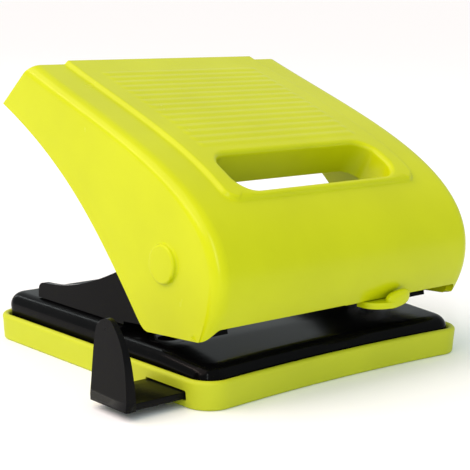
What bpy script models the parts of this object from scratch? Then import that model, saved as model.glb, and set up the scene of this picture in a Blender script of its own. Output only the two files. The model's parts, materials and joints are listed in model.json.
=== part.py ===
"""Two-hole desk punch, built piece by piece as a working assembly.

Metres, +Z up. The origin is the middle of the underside, the paper goes in from -Y,
and the handle rises towards +Y. Outlines in side view are (y, z) pairs.
"""

import math

import bmesh
import bpy
from mathutils import Matrix, Vector

MM = 0.001

# Clearances
REST_GAP = 0.3 * MM  # between pieces that touch or rest on each other
RUN_GAP = 0.1 * MM  # radial, round a pivot
SLIDE_GAP = 0.4 * MM  # round a piece that slides

# What is punched
HOLE_SPACING = 80.0 * MM
PIN_RADIUS = 2.75 * MM
HOLE_MARGIN = 12.0 * MM  # edge of the paper to the middle of the hole
SLOT_HEIGHT = 4.4 * MM
PIN_OVERTRAVEL = 1.1 * MM  # how far the pin goes below the paper bed

# Base plate
BASE_DEPTH = 103.2 * MM
BASE_OVERHANG = 2.2 * MM  # tray beyond the handle, each side
DECK_HEIGHT = 14.4 * MM
BED_HEIGHT = 12.4 * MM
BED_FALL = 1.6 * MM  # the bed slopes down towards the front edge
BED_LEVEL_LENGTH = 20.0 * MM
THROAT_DEPTH = 42.6 * MM  # front edge to paper stop
STOP_SLOPE = 0.6 * MM
BASE_WALL = 1.6 * MM
BASE_CORNER = 8.1 * MM
BASE_FILLET = 3.0 * MM
FRONT_BOW = 2.0 * MM  # the front edge curves inwards
SKIRT_TAPER = 0.6 * MM

# Chip tray
TRAY_HEIGHT = 8.0 * MM
TRAY_FLARE = 0.5 * MM
TRAY_WALL = 2.2 * MM
TRAY_FLOOR = 1.6 * MM
TRAY_LEDGE = 1.9 * MM
TRAY_LEDGE_HEIGHT = 4.7 * MM

# Punch brackets
BRACKET_WALL = 1.8 * MM
BRACKET_REAR_INSET = 17.0 * MM
BRACKET_REAR_HEIGHT = 4.9 * MM
BRACKET_FOOT_ROUND = 0.9 * MM  # bend along the outer foot
INNER_CHEEK_INSET = 10.5 * MM  # inner cheek starts to slope down before the rear end
BRACKET_WEB = 1.8 * MM
HEAD_LENGTH = 19.5 * MM  # paper guide block in front of and behind the pin
HEAD_THICKNESS = 4.2 * MM
HEAD_CHAMFER = 1.2 * MM
EYE_WALL = 2.5 * MM  # round the axle

# Pivot and lever
PIN_ARM = 10.5 * MM  # axle to pin
AXLE_RISE = 19.5 * MM  # axle above the underside of the punch heads
AXLE_RADIUS = 2.5 * MM
HANDLE_SWING = 32.0  # degrees
LEVER_THICKNESS = 2.0 * MM
LEVER_CLEARANCE = 2.4 * MM  # brackets' eyes to the cross bar
LEVER_ARM_WIDTH = 3.0 * MM
NOSE_RADIUS = 3.0 * MM

# Handle
HANDLE_WALL = 2.2 * MM
HANDLE_SIDE_GAP = 1.6 * MM
HANDLE_REACH = 79.0 * MM  # axle to rear tip
HANDLE_FRONT = 21.2 * MM  # axle to front face
FOOT_INSET = 2.3 * MM  # front face leans back towards its lower edge
HANDLE_RISE = 48.7 * MM  # axle to the top edge at the rear
RIDGE_RADIUS = 4.0 * MM
CORNER_RADIUS = 4.8 * MM
FRONT_EDGE_RISE = 4.8 * MM  # handle's front edge above the underside of the punch heads
EAR_THINNING = 0.2 * MM  # ears thinner than the cheeks
PANEL_BORDER = 12.5 * MM
PANEL_RAISE = 1.2 * MM
PANEL_FRONT = 11.1 * MM  # axle to the panel's front end
WINDOW_BORDER = 7.0 * MM
WINDOW_OFFSET = 1.35 * MM  # window's middle in front of the axle
WINDOW_SIZE = 15.6 * MM
WINDOW_CORNER = 6.0 * MM
WINDOW_DEPTH = 9.3 * MM
WINDOW_COLLAR = 2.0 * MM
BOSS_WALL = 3.0 * MM  # round the axle
BOSS_RAISE = 1.2 * MM

# Handle screws
SCREW_RADIUS = 1.4 * MM
SCREW_HEAD_RADIUS = 2.7 * MM
SCREW_HEAD_HEIGHT = 1.8 * MM
SCREW_LENGTH = 8.0 * MM
SCREW_OFFSET = 1.0 * MM  # behind the axle
BOSS_BLOCK = 6.0 * MM

# Pin springs
WIRE_RADIUS = 0.35 * MM
SPRING_TURNS = 4
CLIP_RIM = 1.35 * MM  # clip beyond the pin
CLIP_THICKNESS = 0.8 * MM
GROOVE_DEPTH = 0.7 * MM
CLIP_DROP = 1.3 * MM  # pin's top to the clip

# Die rings
DIE_RIM = 2.75 * MM  # die beyond the pin
DIE_THICKNESS = 1.35 * MM
DIE_BOSS_WALL = 2.0 * MM
DIE_BOSS_DEPTH = 2.8 * MM
CHIP_CLEARANCE = 0.8 * MM  # hole under the die, beyond the pin

# Bracket rivets
RIVET_RADIUS = 2.0 * MM
RIVET_HEAD_RADIUS = 3.5 * MM
RIVET_HEAD_HEIGHT = 1.3 * MM
RIVET_FRONT_INSET = 9.0 * MM  # paper stop to the first rivet
RIVET_REAR_INSET = 8.4 * MM  # bracket's rear end to the second

# Paper guide
RAIL_WIDTH = 16.4 * MM
RAIL_THICKNESS = 1.9 * MM
RAIL_FRONT_INSET = 8.4 * MM  # tray's front edge to the rail
RAIL_LIFT = 0.8 * MM  # above the tray's floor
RAIL_END_GAP = 0.9 * MM  # rail's end to the tray's far wall, pushed in
FIN_THICKNESS = 3.3 * MM
FIN_TAPER = 1.9 * MM  # thinner at its top
FIN_HEIGHT = 23.5 * MM
GUIDE_IN = 15.4 * MM  # from where it rests to the tray's wall
CHANNEL_LENGTH = 34.0 * MM
CHANNEL_WALL = 0.8 * MM

# Lock slider
LOCK_MIDDLE = 12.3 * MM
LOCK_INSET = 1.3 * MM  # front face at the lock, behind the furthest point of the front
LOCK_LENGTH = 20.0 * MM
LOCK_PLATE = 1.5 * MM
LOCK_RISE = 9.0 * MM
LOCK_TONGUE = 1.8 * MM
LOCK_REACH = 3.6 * MM  # in front of the handle's face
THUMB_LENGTH = 9.5 * MM
THUMB_HEIGHT = 4.8 * MM
LOCK_TRAVEL = 8.0 * MM

# Worked out from the sizes above
CLIP_RADIUS = PIN_RADIUS + CLIP_RIM
DIE_RADIUS = PIN_RADIUS + DIE_RIM
BRACKET_WIDTH = 2 * (CLIP_RADIUS + REST_GAP + BRACKET_WALL)
EYE_RADIUS = AXLE_RADIUS + EYE_WALL
BOSS_RADIUS = AXLE_RADIUS + BOSS_WALL
EAR_WIDTH = HANDLE_WALL - EAR_THINNING
FRONT_Y = -BASE_DEPTH / 2
REAR_Y = BASE_DEPTH / 2
STOP_Y = FRONT_Y + THROAT_DEPTH
PIN_X = HOLE_SPACING / 2
PIN_Y = STOP_Y - HOLE_MARGIN
HEAD_Z = BED_HEIGHT + SLOT_HEIGHT
FRONT_EDGE_HEIGHT = HEAD_Z + FRONT_EDGE_RISE
AXLE_Y = PIN_Y - PIN_ARM
AXLE_Z = HEAD_Z + AXLE_RISE
BRACKET_OUTER_X = PIN_X + BRACKET_WIDTH / 2
HANDLE_HALF = BRACKET_OUTER_X + HANDLE_SIDE_GAP + HANDLE_WALL
TRAY_HALF = HANDLE_HALF + BASE_OVERHANG
BRACKET_REAR_Y = REAR_Y - BRACKET_REAR_INSET
BRACKET_FRONT_Y = PIN_Y - HEAD_LENGTH
WEB_Z = DECK_HEIGHT + REST_GAP
WEB_TOP = WEB_Z + BRACKET_WEB
NOSE_Z = AXLE_Z
PIN_TOP = NOSE_Z - NOSE_RADIUS - REST_GAP
PIN_TRAVEL = PIN_ARM * math.radians(HANDLE_SWING)
PIN_TIP = BED_HEIGHT - PIN_OVERTRAVEL + PIN_TRAVEL
LEVER_Z = AXLE_Z + EYE_RADIUS + LEVER_CLEARANCE
PANEL_HALF = HANDLE_HALF - PANEL_BORDER
WINDOW_HALF = PANEL_HALF - WINDOW_BORDER
SCREW_X = PIN_X - LEVER_ARM_WIDTH / 2 - SCREW_HEAD_RADIUS - SLIDE_GAP
SCREW_Y = AXLE_Y + SCREW_OFFSET
BASE_HALF = TRAY_HALF - TRAY_WALL - SLIDE_GAP
SKIRT_Z = TRAY_LEDGE_HEIGHT + REST_GAP
RAIL_FRONT_Y = FRONT_Y + RAIL_FRONT_INSET
RAIL_Z = TRAY_FLOOR + RAIL_LIFT
FIN_INNER_X = -TRAY_HALF - SLIDE_GAP - GUIDE_IN
TRAY_INNER_HALF = TRAY_HALF - TRAY_FLARE * (1 - TRAY_FLOOR / TRAY_HEIGHT) - TRAY_WALL - TRAY_LEDGE
RAIL_END_X = TRAY_INNER_HALF - RAIL_END_GAP - GUIDE_IN

ROUND_STEPS = 24
CORNER_STEPS = 5


# ---------------------------------------------------------------- helpers


def clear_scene():
    for old in list(bpy.data.objects):
        bpy.data.objects.remove(old, do_unlink=True)


def make_material(name, colour, roughness, metallic=0.0):
    material = bpy.data.materials.new(name)
    material.use_nodes = True
    shader = material.node_tree.nodes["Principled BSDF"]
    shader.inputs["Base Color"].default_value = (*colour, 1.0)
    shader.inputs["Roughness"].default_value = roughness
    shader.inputs["Metallic"].default_value = metallic
    return material


def make_object(name, bm, material=None, origin=(0.0, 0.0, 0.0), parent=None):
    """Turn a bmesh given in world coordinates into an object whose origin is at origin."""
    bmesh.ops.recalc_face_normals(bm, faces=bm.faces)
    bmesh.ops.translate(bm, verts=bm.verts, vec=-Vector(origin))
    mesh = bpy.data.meshes.new(name)
    bm.to_mesh(mesh)
    bm.free()
    mesh.shade_smooth()
    mesh.set_sharp_from_angle(angle=math.radians(35.0))
    thing = bpy.data.objects.new(name, mesh)
    bpy.context.collection.objects.link(thing)
    if material:
        mesh.materials.append(material)
    thing.location = origin
    if parent:
        thing.parent = parent
        thing.location = Vector(origin) - parent.matrix_world.translation
    return thing


def make_empty(name, place):
    empty = bpy.data.objects.new(name, None)
    empty.location = place
    empty.matrix_world = Matrix.Translation(place)
    bpy.context.collection.objects.link(empty)
    return empty


def combine(target, bm, operation):
    """Boolean the closed mesh bm into or out of target, as a modifier with its own cutter."""
    count = len(target.modifiers)
    tool = make_object(f"{target.name}_{operation.lower()}_{count}", bm)
    tool.hide_render = True
    tool.display_type = "WIRE"
    modifier = target.modifiers.new(f"{operation.lower()}_{count}", "BOOLEAN")
    modifier.operation = operation
    modifier.object = tool


def together(parts):
    """Several closed meshes as one, for a single Boolean."""
    joined = bmesh.new()
    for part in parts:
        mesh = bpy.data.meshes.new("part")
        part.to_mesh(mesh)
        part.free()
        joined.from_mesh(mesh)
        bpy.data.meshes.remove(mesh)
    return joined


def cut(target, bm):
    combine(target, bm, "DIFFERENCE")


def add(target, bm):
    combine(target, bm, "UNION")


def prism(outline, start, end, axis="X"):
    """Closed prism: an outline pushed along an axis. X takes (y, z) points, Z takes (x, y)."""
    bm = bmesh.new()
    place = {
        "X": lambda p, d: (d, p[0], p[1]),
        "Z": lambda p, d: (p[0], p[1], d),
    }[axis]
    low = [bm.verts.new(place(p, start)) for p in outline]
    high = [bm.verts.new(place(p, end)) for p in outline]
    bm.faces.new(low)
    bm.faces.new(high)
    count = len(outline)
    for i in range(count):
        j = (i + 1) % count
        bm.faces.new((low[i], low[j], high[j], high[i]))
    return bm


def block(low, high):
    """Closed box between two corners."""
    outline = [(low[1], low[2]), (high[1], low[2]), (high[1], high[2]), (low[1], high[2])]
    return prism(outline, low[0], high[0])


def turned(profile, centre, steps=ROUND_STEPS, axis="Z"):
    """Closed ring or solid: a loop of (radius, height) points turned about an axis."""
    bm = bmesh.new()
    rings = []
    for radius, height in profile:
        if radius == 0.0:
            rings.append([bm.verts.new((0.0, 0.0, height))])
            continue
        turn = [math.tau * k / steps for k in range(steps)]
        ring = [(radius * math.cos(a), radius * math.sin(a), height) for a in turn]
        rings.append([bm.verts.new(p) for p in ring])
    hollow = all(len(ring) > 1 for ring in rings)
    pairs = list(zip(rings, rings[1:]))
    if hollow:
        pairs.append((rings[-1], rings[0]))
    for lower, upper in pairs:
        for k in range(steps):
            m = (k + 1) % steps
            if len(lower) == 1:
                bm.faces.new((lower[0], upper[m], upper[k]))
            elif len(upper) == 1:
                bm.faces.new((lower[k], lower[m], upper[0]))
            else:
                bm.faces.new((lower[k], lower[m], upper[m], upper[k]))
    if axis == "X":
        bmesh.ops.rotate(bm, verts=bm.verts, matrix=Matrix.Rotation(math.pi / 2, 3, "Y"))
    if axis == "Y":
        bmesh.ops.rotate(bm, verts=bm.verts, matrix=Matrix.Rotation(math.pi / 2, 3, "X"))
    bmesh.ops.translate(bm, verts=bm.verts, vec=centre)
    return bm


def rod(radius, start, end, centre, axis="Z", steps=ROUND_STEPS):
    """Plain cylinder from start to end along an axis, measured from centre."""
    profile = [(0.0, start), (radius, start), (radius, end), (0.0, end)]
    return turned(profile, centre, steps, axis)


def arc(centre, radius, start, end, steps):
    """Points on a circle, angles in degrees."""
    turn = [math.radians(start + (end - start) * k / steps) for k in range(steps + 1)]
    return [(centre[0] + radius * math.cos(a), centre[1] + radius * math.sin(a)) for a in turn]


def bezier(points, t):
    """Point on a cubic curve."""
    s = 1.0 - t
    weights = (s**3, 3 * t * s**2, 3 * t**2 * s, t**3)
    return tuple(sum(w * p[k] for w, p in zip(weights, points)) for k in (0, 1))


def bezier_run(points, steps, first=0):
    return [bezier(points, k / steps) for k in range(first, steps + 1)]


def from_axle(y, z):
    return (AXLE_Y + y, AXLE_Z + z)


# ---------------------------------------------------------------- plan outlines of base and tray


def plan_outline(inset, side_breaks, radius):
    """Right half of the plan, front middle to rear middle, with vertices at side_breaks."""
    half = TRAY_HALF - inset
    front = FRONT_Y + inset
    rear = REAR_Y - inset
    radius = max(radius - inset, 1.5 * MM)
    corner_x = half - radius
    bow_steps = 4
    points = []
    for k in range(bow_steps):
        share = k / bow_steps
        points.append((corner_x * share, front + FRONT_BOW * (1.0 - share**2)))
    points += arc((corner_x, front + radius), radius, -90, 0, CORNER_STEPS)
    points += [(half, y) for y in side_breaks]
    points += arc((corner_x, rear - radius), radius, 0, 90, CORNER_STEPS)
    points.append((0.0, rear))
    return points


def full_ring(bm, half_points, heights):
    """Closed ring of vertices from a right half outline; heights has one z per point."""
    right = [bm.verts.new((x, y, z)) for (x, y), z in zip(half_points, heights)]
    inner = list(zip(half_points, heights))[1:-1]
    left = [bm.verts.new((-x, y, z)) for (x, y), z in reversed(inner)]
    return right + left


def bridge(bm, lower, upper):
    count = len(lower)
    for k in range(count):
        m = (k + 1) % count
        bm.faces.new((lower[k], lower[m], upper[m], upper[k]))


def cap(bm, ring, first_break, break_count):
    """Close a ring with one flat face per stretch between the breaks on its two sides."""
    count = len(ring)
    last_break = first_break + break_count - 1
    mirror = {k: (count - k) % count for k in range(count)}
    front = list(range(0, first_break + 1))
    front += [mirror[k] for k in range(first_break, 0, -1)]
    bm.faces.new([ring[k] for k in front])
    for k in range(first_break, last_break):
        bm.faces.new((ring[k], ring[k + 1], ring[mirror[k + 1]], ring[mirror[k]]))
    middle = count // 2
    rear = list(range(last_break, middle + 1))
    rear += [mirror[k] for k in range(middle - 1, last_break - 1, -1)]
    bm.faces.new([ring[k] for k in rear])


SIDE_START = 4 + CORNER_STEPS + 1  # index of the first side break in plan_outline


# ---------------------------------------------------------------- base plate and dies


def deck_breaks(shift):
    """Side breaks of the deck: bed's front fall, foot and head of the paper stop."""
    foot = STOP_Y - STOP_SLOPE
    return [foot - BED_LEVEL_LENGTH + shift, foot + shift, STOP_Y + shift]


def deck_height(y, shift, drop):
    fall_y, foot_y, stop_y = deck_breaks(shift)
    if y <= fall_y:
        return BED_HEIGHT - drop - BED_FALL * (fall_y - y) / (fall_y - FRONT_Y)
    if y <= foot_y:
        return BED_HEIGHT - drop
    return DECK_HEIGHT - drop


def deck_rings(bm, inset, shift, drop, fillet, skirt_inset):
    """Rings of one side of the base's skin, from the skirt's lower edge up to the cap."""
    breaks = deck_breaks(shift)
    rings = []
    outline = plan_outline(inset + skirt_inset, breaks, BASE_CORNER)
    rings.append(full_ring(bm, outline, [SKIRT_Z] * len(outline)))
    steps = 4
    for k in range(steps + 1):
        angle = math.pi / 2 * k / steps
        outline = plan_outline(inset + fillet * (1 - math.cos(angle)), breaks, BASE_CORNER)
        down = drop + fillet * (1 - math.sin(angle))
        rings.append(full_ring(bm, outline, [deck_height(y, shift, down) for _, y in outline]))
    return rings


def build_base_plate(material, parent):
    bm = bmesh.new()
    inset = TRAY_HALF - BASE_HALF
    outer = deck_rings(bm, inset, 0.0, 0.0, BASE_FILLET, SKIRT_TAPER)
    inner = deck_rings(
        bm, inset + BASE_WALL, BASE_WALL, BASE_WALL, BASE_FILLET - BASE_WALL, SKIRT_TAPER
    )
    for rings in (outer, inner):
        for lower, upper in zip(rings, rings[1:]):
            bridge(bm, lower, upper)
        cap(bm, rings[-1], SIDE_START, 3)
    bridge(bm, outer[0], inner[0])
    base = make_object("base_plate", bm, material, parent=parent)
    floor = BED_HEIGHT - REST_GAP - DIE_THICKNESS
    pocket = DIE_RADIUS + REST_GAP
    chip_hole = PIN_RADIUS + CHIP_CLEARANCE
    low = BED_HEIGHT - BASE_WALL - DIE_BOSS_DEPTH
    step = [
        (0.0, low - 1 * MM),
        (chip_hole, low - 1 * MM),
        (chip_hole, floor),
        (pocket, floor),
        (pocket, BED_HEIGHT + 1 * MM),
        (0.0, BED_HEIGHT + 1 * MM),
    ]
    bosses = []
    holes = []
    for side in (-1, 1):
        place = (side * PIN_X, PIN_Y, 0.0)
        bosses.append(rod(pocket + DIE_BOSS_WALL, low, BED_HEIGHT - BASE_WALL / 2, place))
        holes.append(turned(step, place))
        for y in rivet_places():
            hole = (side * PIN_X, y, 0.0)
            holes.append(rod(RIVET_RADIUS + REST_GAP, SKIRT_Z, DECK_HEIGHT + 1 * MM, hole, steps=16))
    add(base, together(bosses))
    cut(base, together(holes))
    return base


def build_die_ring(side_name, side, material, parent):
    top = BED_HEIGHT - 0.05 * MM
    low = BED_HEIGHT - DIE_THICKNESS
    hole = PIN_RADIUS + 2 * RUN_GAP
    profile = [(hole, low), (DIE_RADIUS, low), (DIE_RADIUS, top), (hole, top)]
    place = (side * PIN_X, PIN_Y, 0.0)
    make_object(f"{side_name}_die_ring", turned(profile, place), material, parent=parent)


# ---------------------------------------------------------------- chip tray


def tray_outline(inset):
    return plan_outline(inset, [PIN_Y, 0.0], BASE_CORNER)


def build_chip_tray(material, parent):
    """Soft pan: flared wall, a ledge that carries the base's skirt, and a channel for the rail."""
    bm = bmesh.new()

    def flare(z):
        return TRAY_FLARE * (1 - z / TRAY_HEIGHT)

    edge = 0.5 * MM
    ledge = TRAY_LEDGE_HEIGHT
    steps = [
        (flare(0) + edge, 0.0),
        (flare(edge), edge),
        (flare(TRAY_HEIGHT - edge), TRAY_HEIGHT - edge),
        (edge, TRAY_HEIGHT),
        (TRAY_WALL - edge, TRAY_HEIGHT),
        (TRAY_WALL, TRAY_HEIGHT - edge),
        (flare(ledge) + TRAY_WALL, ledge),
        (flare(ledge) + TRAY_WALL + TRAY_LEDGE, ledge),
        (flare(TRAY_FLOOR) + TRAY_WALL + TRAY_LEDGE, TRAY_FLOOR),
    ]
    rings = []
    for inset, z in steps:
        outline = tray_outline(inset)
        rings.append(full_ring(bm, outline, [z] * len(outline)))
    for lower, upper in zip(rings, rings[1:]):
        bridge(bm, lower, upper)
    bm.faces.new(rings[0])
    bm.faces.new(rings[-1])
    tray = make_object("chip_tray", bm, material, parent=parent)
    wall_in = TRAY_HALF - TRAY_FLARE - TRAY_WALL - TRAY_LEDGE
    rail_rear = RAIL_FRONT_Y + RAIL_WIDTH
    for low_y in (RAIL_FRONT_Y - SLIDE_GAP - CHANNEL_WALL, rail_rear + SLIDE_GAP):
        low = (-wall_in - 1 * MM, low_y, TRAY_FLOOR / 2)
        high = (-wall_in + CHANNEL_LENGTH, low_y + CHANNEL_WALL, RAIL_Z + RAIL_THICKNESS)
        add(tray, block(low, high))
    window_low = (-TRAY_HALF - 1 * MM, RAIL_FRONT_Y - SLIDE_GAP, RAIL_Z - SLIDE_GAP)
    window_top = RAIL_Z + RAIL_THICKNESS + SLIDE_GAP
    cut(tray, block(window_low, (-wall_in + 1 * MM, rail_rear + SLIDE_GAP, window_top)))
    return tray


# ---------------------------------------------------------------- paper guide


def build_paper_guide(material, parent):
    """Flat rail with an upright fin at its outer end."""
    front = RAIL_FRONT_Y
    rear = RAIL_FRONT_Y + RAIL_WIDTH
    top = RAIL_Z + RAIL_THICKNESS
    origin = (FIN_INNER_X, (front + rear) / 2, RAIL_Z)
    bm = block((FIN_INNER_X - FIN_THICKNESS / 2, front, RAIL_Z), (RAIL_END_X, rear, top))
    guide = make_object("paper_guide", bm, material, origin, parent)
    tip = RAIL_Z + FIN_HEIGHT
    front_edge = [
        (front - 0.6 * MM, RAIL_Z),
        (front - 0.4 * MM, RAIL_Z + 0.42 * FIN_HEIGHT),
        (front + 0.1 * MM, tip - 6.6 * MM),
        (front + 4.8 * MM, tip - 1.9 * MM),
    ]
    top_edge = [
        (front + 4.8 * MM, tip - 1.9 * MM),
        (front + 6.6 * MM, tip + 0.7 * MM),
        (front + 9.0 * MM, tip - 0.2 * MM),
        (front + 11.4 * MM, tip - 1.6 * MM),
    ]
    rear_edge = [
        (front + 11.4 * MM, tip - 1.6 * MM),
        (front + 13.6 * MM, tip - 3.2 * MM),
        (rear - 2.6 * MM, RAIL_Z + 0.5 * FIN_HEIGHT),
        (rear - 1.1 * MM, RAIL_Z),
    ]
    outline = bezier_run(front_edge, 7)
    outline += bezier_run(top_edge, 6, first=1)
    outline += bezier_run(rear_edge, 7, first=1)
    fin = prism(outline, FIN_INNER_X - FIN_THICKNESS, FIN_INNER_X)
    for vert in fin.verts:
        if vert.co.x > FIN_INNER_X - FIN_THICKNESS / 2:
            vert.co.x -= FIN_TAPER * (vert.co.z - RAIL_Z) / FIN_HEIGHT
    sides = [f for f in fin.faces if len(f.verts) > 4]
    rim = list({e for f in sides for e in f.edges if e.verts[0].co.z + e.verts[1].co.z > 2.1 * RAIL_Z})
    bmesh.ops.bevel(fin, geom=rim, offset=0.3 * MM, segments=1, affect="EDGES")
    add(guide, fin)
    return guide


# ---------------------------------------------------------------- punch brackets


def bracket_outline():
    """Side view of a bracket: foot, throat over the paper, eye round the axle, sloping back."""
    eye_end = 20
    eye = arc((AXLE_Y, AXLE_Z), EYE_RADIUS, 180, eye_end, 6)
    rear_top = WEB_Z + BRACKET_REAR_HEIGHT
    back = [
        eye[-1],
        from_axle(19.5 * MM, -2.0 * MM),
        (AXLE_Y + 37.0 * MM, rear_top + 0.9 * MM),
        (BRACKET_REAR_Y - 3.4 * MM, rear_top),
    ]
    outline = [
        (BRACKET_REAR_Y, WEB_Z),
        (STOP_Y + REST_GAP, WEB_Z),
        (STOP_Y + REST_GAP, HEAD_Z),
        (BRACKET_FRONT_Y, HEAD_Z),
        (BRACKET_FRONT_Y, AXLE_Z - 6.0 * MM),
    ]
    outline += eye
    outline += bezier_run(back, 9, first=1)
    outline += [(BRACKET_REAR_Y - 0.8 * MM, rear_top - 1.0 * MM)]
    outline += [(BRACKET_REAR_Y, rear_top - 2.8 * MM)]
    return outline


def rivet_places():
    return (STOP_Y + RIVET_FRONT_INSET, BRACKET_REAR_Y - RIVET_REAR_INSET)


def bevel_lower_edges(bm, z, offset):
    """Bevel the long edges of a bracket's blank that run at height z."""
    low_edges = [
        e
        for e in bm.edges
        if all(abs(v.co.z - z) < 1e-6 for v in e.verts)
        and abs(e.verts[0].co.x - e.verts[1].co.x) < 1e-6
    ]
    bmesh.ops.bevel(bm, geom=low_edges, offset=offset, segments=1, affect="EDGES")


def build_bracket(side_name, side, material, parent):
    middle = side * PIN_X
    low_x = middle - BRACKET_WIDTH / 2
    high_x = middle + BRACKET_WIDTH / 2
    bm = prism(bracket_outline(), low_x, high_x)
    bevel_lower_edges(bm, HEAD_Z, HEAD_CHAMFER)
    bevel_lower_edges(bm, WEB_Z, BRACKET_FOOT_ROUND)
    bracket = make_object(f"{side_name}_punch_bracket", bm, material, parent=parent)
    head_top = HEAD_Z + HEAD_THICKNESS
    above = AXLE_Z + 3 * EYE_RADIUS
    behind = BRACKET_REAR_Y + 5 * MM
    channel = [
        (BRACKET_FRONT_Y + BRACKET_WALL, head_top),
        (PIN_Y + HOLE_MARGIN / 2, head_top),
        (STOP_Y, WEB_TOP),
        (behind, WEB_TOP),
        (behind, above),
        (BRACKET_FRONT_Y + BRACKET_WALL, above),
    ]
    cut(bracket, prism(channel, low_x + BRACKET_WALL, high_x - BRACKET_WALL))
    slope = [
        (BRACKET_REAR_Y - INNER_CHEEK_INSET, WEB_TOP + 4.0 * MM),
        (BRACKET_REAR_Y - 0.3 * INNER_CHEEK_INSET, WEB_TOP + 0.3 * MM),
        (behind, WEB_TOP + 0.3 * MM),
        (behind, above),
        (BRACKET_REAR_Y - INNER_CHEEK_INSET, above),
    ]
    inner_wall = sorted((middle, middle - side * BRACKET_WIDTH))
    cut(bracket, prism(slope, *inner_wall))
    pin_hole = PIN_RADIUS + 2 * RUN_GAP
    cut(bracket, rod(pin_hole, HEAD_Z - 1 * MM, head_top + 1 * MM, (middle, PIN_Y, 0.0)))
    reach = BRACKET_WIDTH
    cut(bracket, rod(AXLE_RADIUS + RUN_GAP, -reach, reach, (middle, AXLE_Y, AXLE_Z), "X"))
    for y in rivet_places():
        hole = (middle, y, 0.0)
        cut(bracket, rod(RIVET_RADIUS + REST_GAP, WEB_Z - 1 * MM, WEB_TOP + 1 * MM, hole, steps=16))
    return bracket


def build_bracket_rivets(side_name, side, material, parent):
    low = DECK_HEIGHT - BASE_WALL - REST_GAP
    high = WEB_TOP + REST_GAP
    dome = 0.6 * RIVET_HEAD_RADIUS
    half = 0.6 * RIVET_HEAD_HEIGHT
    profile = [
        (0.0, low - RIVET_HEAD_HEIGHT),
        (dome, low - RIVET_HEAD_HEIGHT),
        (RIVET_HEAD_RADIUS, low - half),
        (RIVET_HEAD_RADIUS, low),
        (RIVET_RADIUS, low),
        (RIVET_RADIUS, high),
        (RIVET_HEAD_RADIUS, high),
        (RIVET_HEAD_RADIUS, high + half),
        (dome, high + RIVET_HEAD_HEIGHT),
        (0.0, high + RIVET_HEAD_HEIGHT),
    ]
    for place_name, y in zip(("front", "rear"), rivet_places()):
        bm = turned(profile, (side * PIN_X, y, 0.0), 16)
        make_object(f"{side_name}_{place_name}_rivet", bm, material, parent=parent)


# ---------------------------------------------------------------- axle, pins and springs


def build_axle(material, parent):
    half = HANDLE_HALF - 0.4 * MM
    edge = 0.4 * MM
    profile = [
        (0.0, -half),
        (AXLE_RADIUS - edge, -half),
        (AXLE_RADIUS, -half + edge),
        (AXLE_RADIUS, half - edge),
        (AXLE_RADIUS - edge, half),
        (0.0, half),
    ]
    place = (0.0, AXLE_Y, AXLE_Z)
    make_object("pivot_axle", turned(profile, place, axis="X"), material, parent=parent)


def build_pin(side_name, side, material, parent):
    """Ground pin with a groove near its top and a hollow-ground cutting end."""
    clip_top = PIN_TOP - CLIP_DROP
    clip_low = clip_top - CLIP_THICKNESS
    neck = PIN_RADIUS - GROOVE_DEPTH
    edge = 0.4 * MM
    profile = [
        (0.0, PIN_TIP + 0.9 * MM),
        (PIN_RADIUS, PIN_TIP),
        (PIN_RADIUS, clip_low - REST_GAP),
        (neck, clip_low - REST_GAP),
        (neck, clip_top + REST_GAP),
        (PIN_RADIUS, clip_top + REST_GAP),
        (PIN_RADIUS, PIN_TOP - edge),
        (PIN_RADIUS - edge, PIN_TOP),
        (0.0, PIN_TOP),
    ]
    origin = (side * PIN_X, PIN_Y, PIN_TOP)
    name = f"{side_name}_punch_pin"
    make_object(name, turned(profile, (side * PIN_X, PIN_Y, 0.0)), material, origin, parent)


def build_pin_clip(side_name, side, material, parent):
    """Open ring that sits in the pin's groove."""
    inner = PIN_RADIUS - GROOVE_DEPTH + REST_GAP
    gap_angle = 32
    outline = arc((0.0, 0.0), CLIP_RADIUS, gap_angle, 360 - gap_angle, 20)
    outline += arc((0.0, 0.0), inner, 360 - gap_angle, gap_angle, 14)
    low = PIN_TOP - CLIP_DROP - CLIP_THICKNESS
    bm = prism(outline, low, low + CLIP_THICKNESS, "Z")
    bmesh.ops.translate(bm, verts=bm.verts, vec=(side * PIN_X, PIN_Y, 0.0))
    origin = (side * PIN_X, PIN_Y, low)
    make_object(f"{side_name}_pin_clip", bm, material, origin, parent)


def build_return_spring(side_name, side, material, parent):
    """Round wire wound round the pin, between the punch head and the pin's clip."""
    low = HEAD_Z + HEAD_THICKNESS + REST_GAP + WIRE_RADIUS
    high = PIN_TOP - CLIP_DROP - CLIP_THICKNESS - REST_GAP - WIRE_RADIUS
    coil = CLIP_RADIUS - WIRE_RADIUS - 0.2 * MM
    per_turn = 14
    wire_sides = 6
    count = SPRING_TURNS * per_turn
    bm = bmesh.new()
    rings = []
    for k in range(count + 1):
        share = k / count
        angle = math.tau * SPRING_TURNS * share
        out = Vector((math.cos(angle), math.sin(angle), 0.0))
        middle = out * coil + Vector((0.0, 0.0, low + (high - low) * share))
        ring = []
        for j in range(wire_sides):
            turn = math.tau * j / wire_sides
            offset = out * math.cos(turn) + Vector((0.0, 0.0, math.sin(turn)))
            ring.append(bm.verts.new(middle + offset * WIRE_RADIUS))
        rings.append(ring)
    for lower, upper in zip(rings, rings[1:]):
        bridge(bm, lower, upper)
    bm.faces.new(rings[0])
    bm.faces.new(rings[-1])
    bmesh.ops.translate(bm, verts=bm.verts, vec=(side * PIN_X, PIN_Y, 0.0))
    origin = (side * PIN_X, PIN_Y, low)
    make_object(f"{side_name}_return_spring", bm, material, origin, parent)


# ---------------------------------------------------------------- press lever


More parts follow.
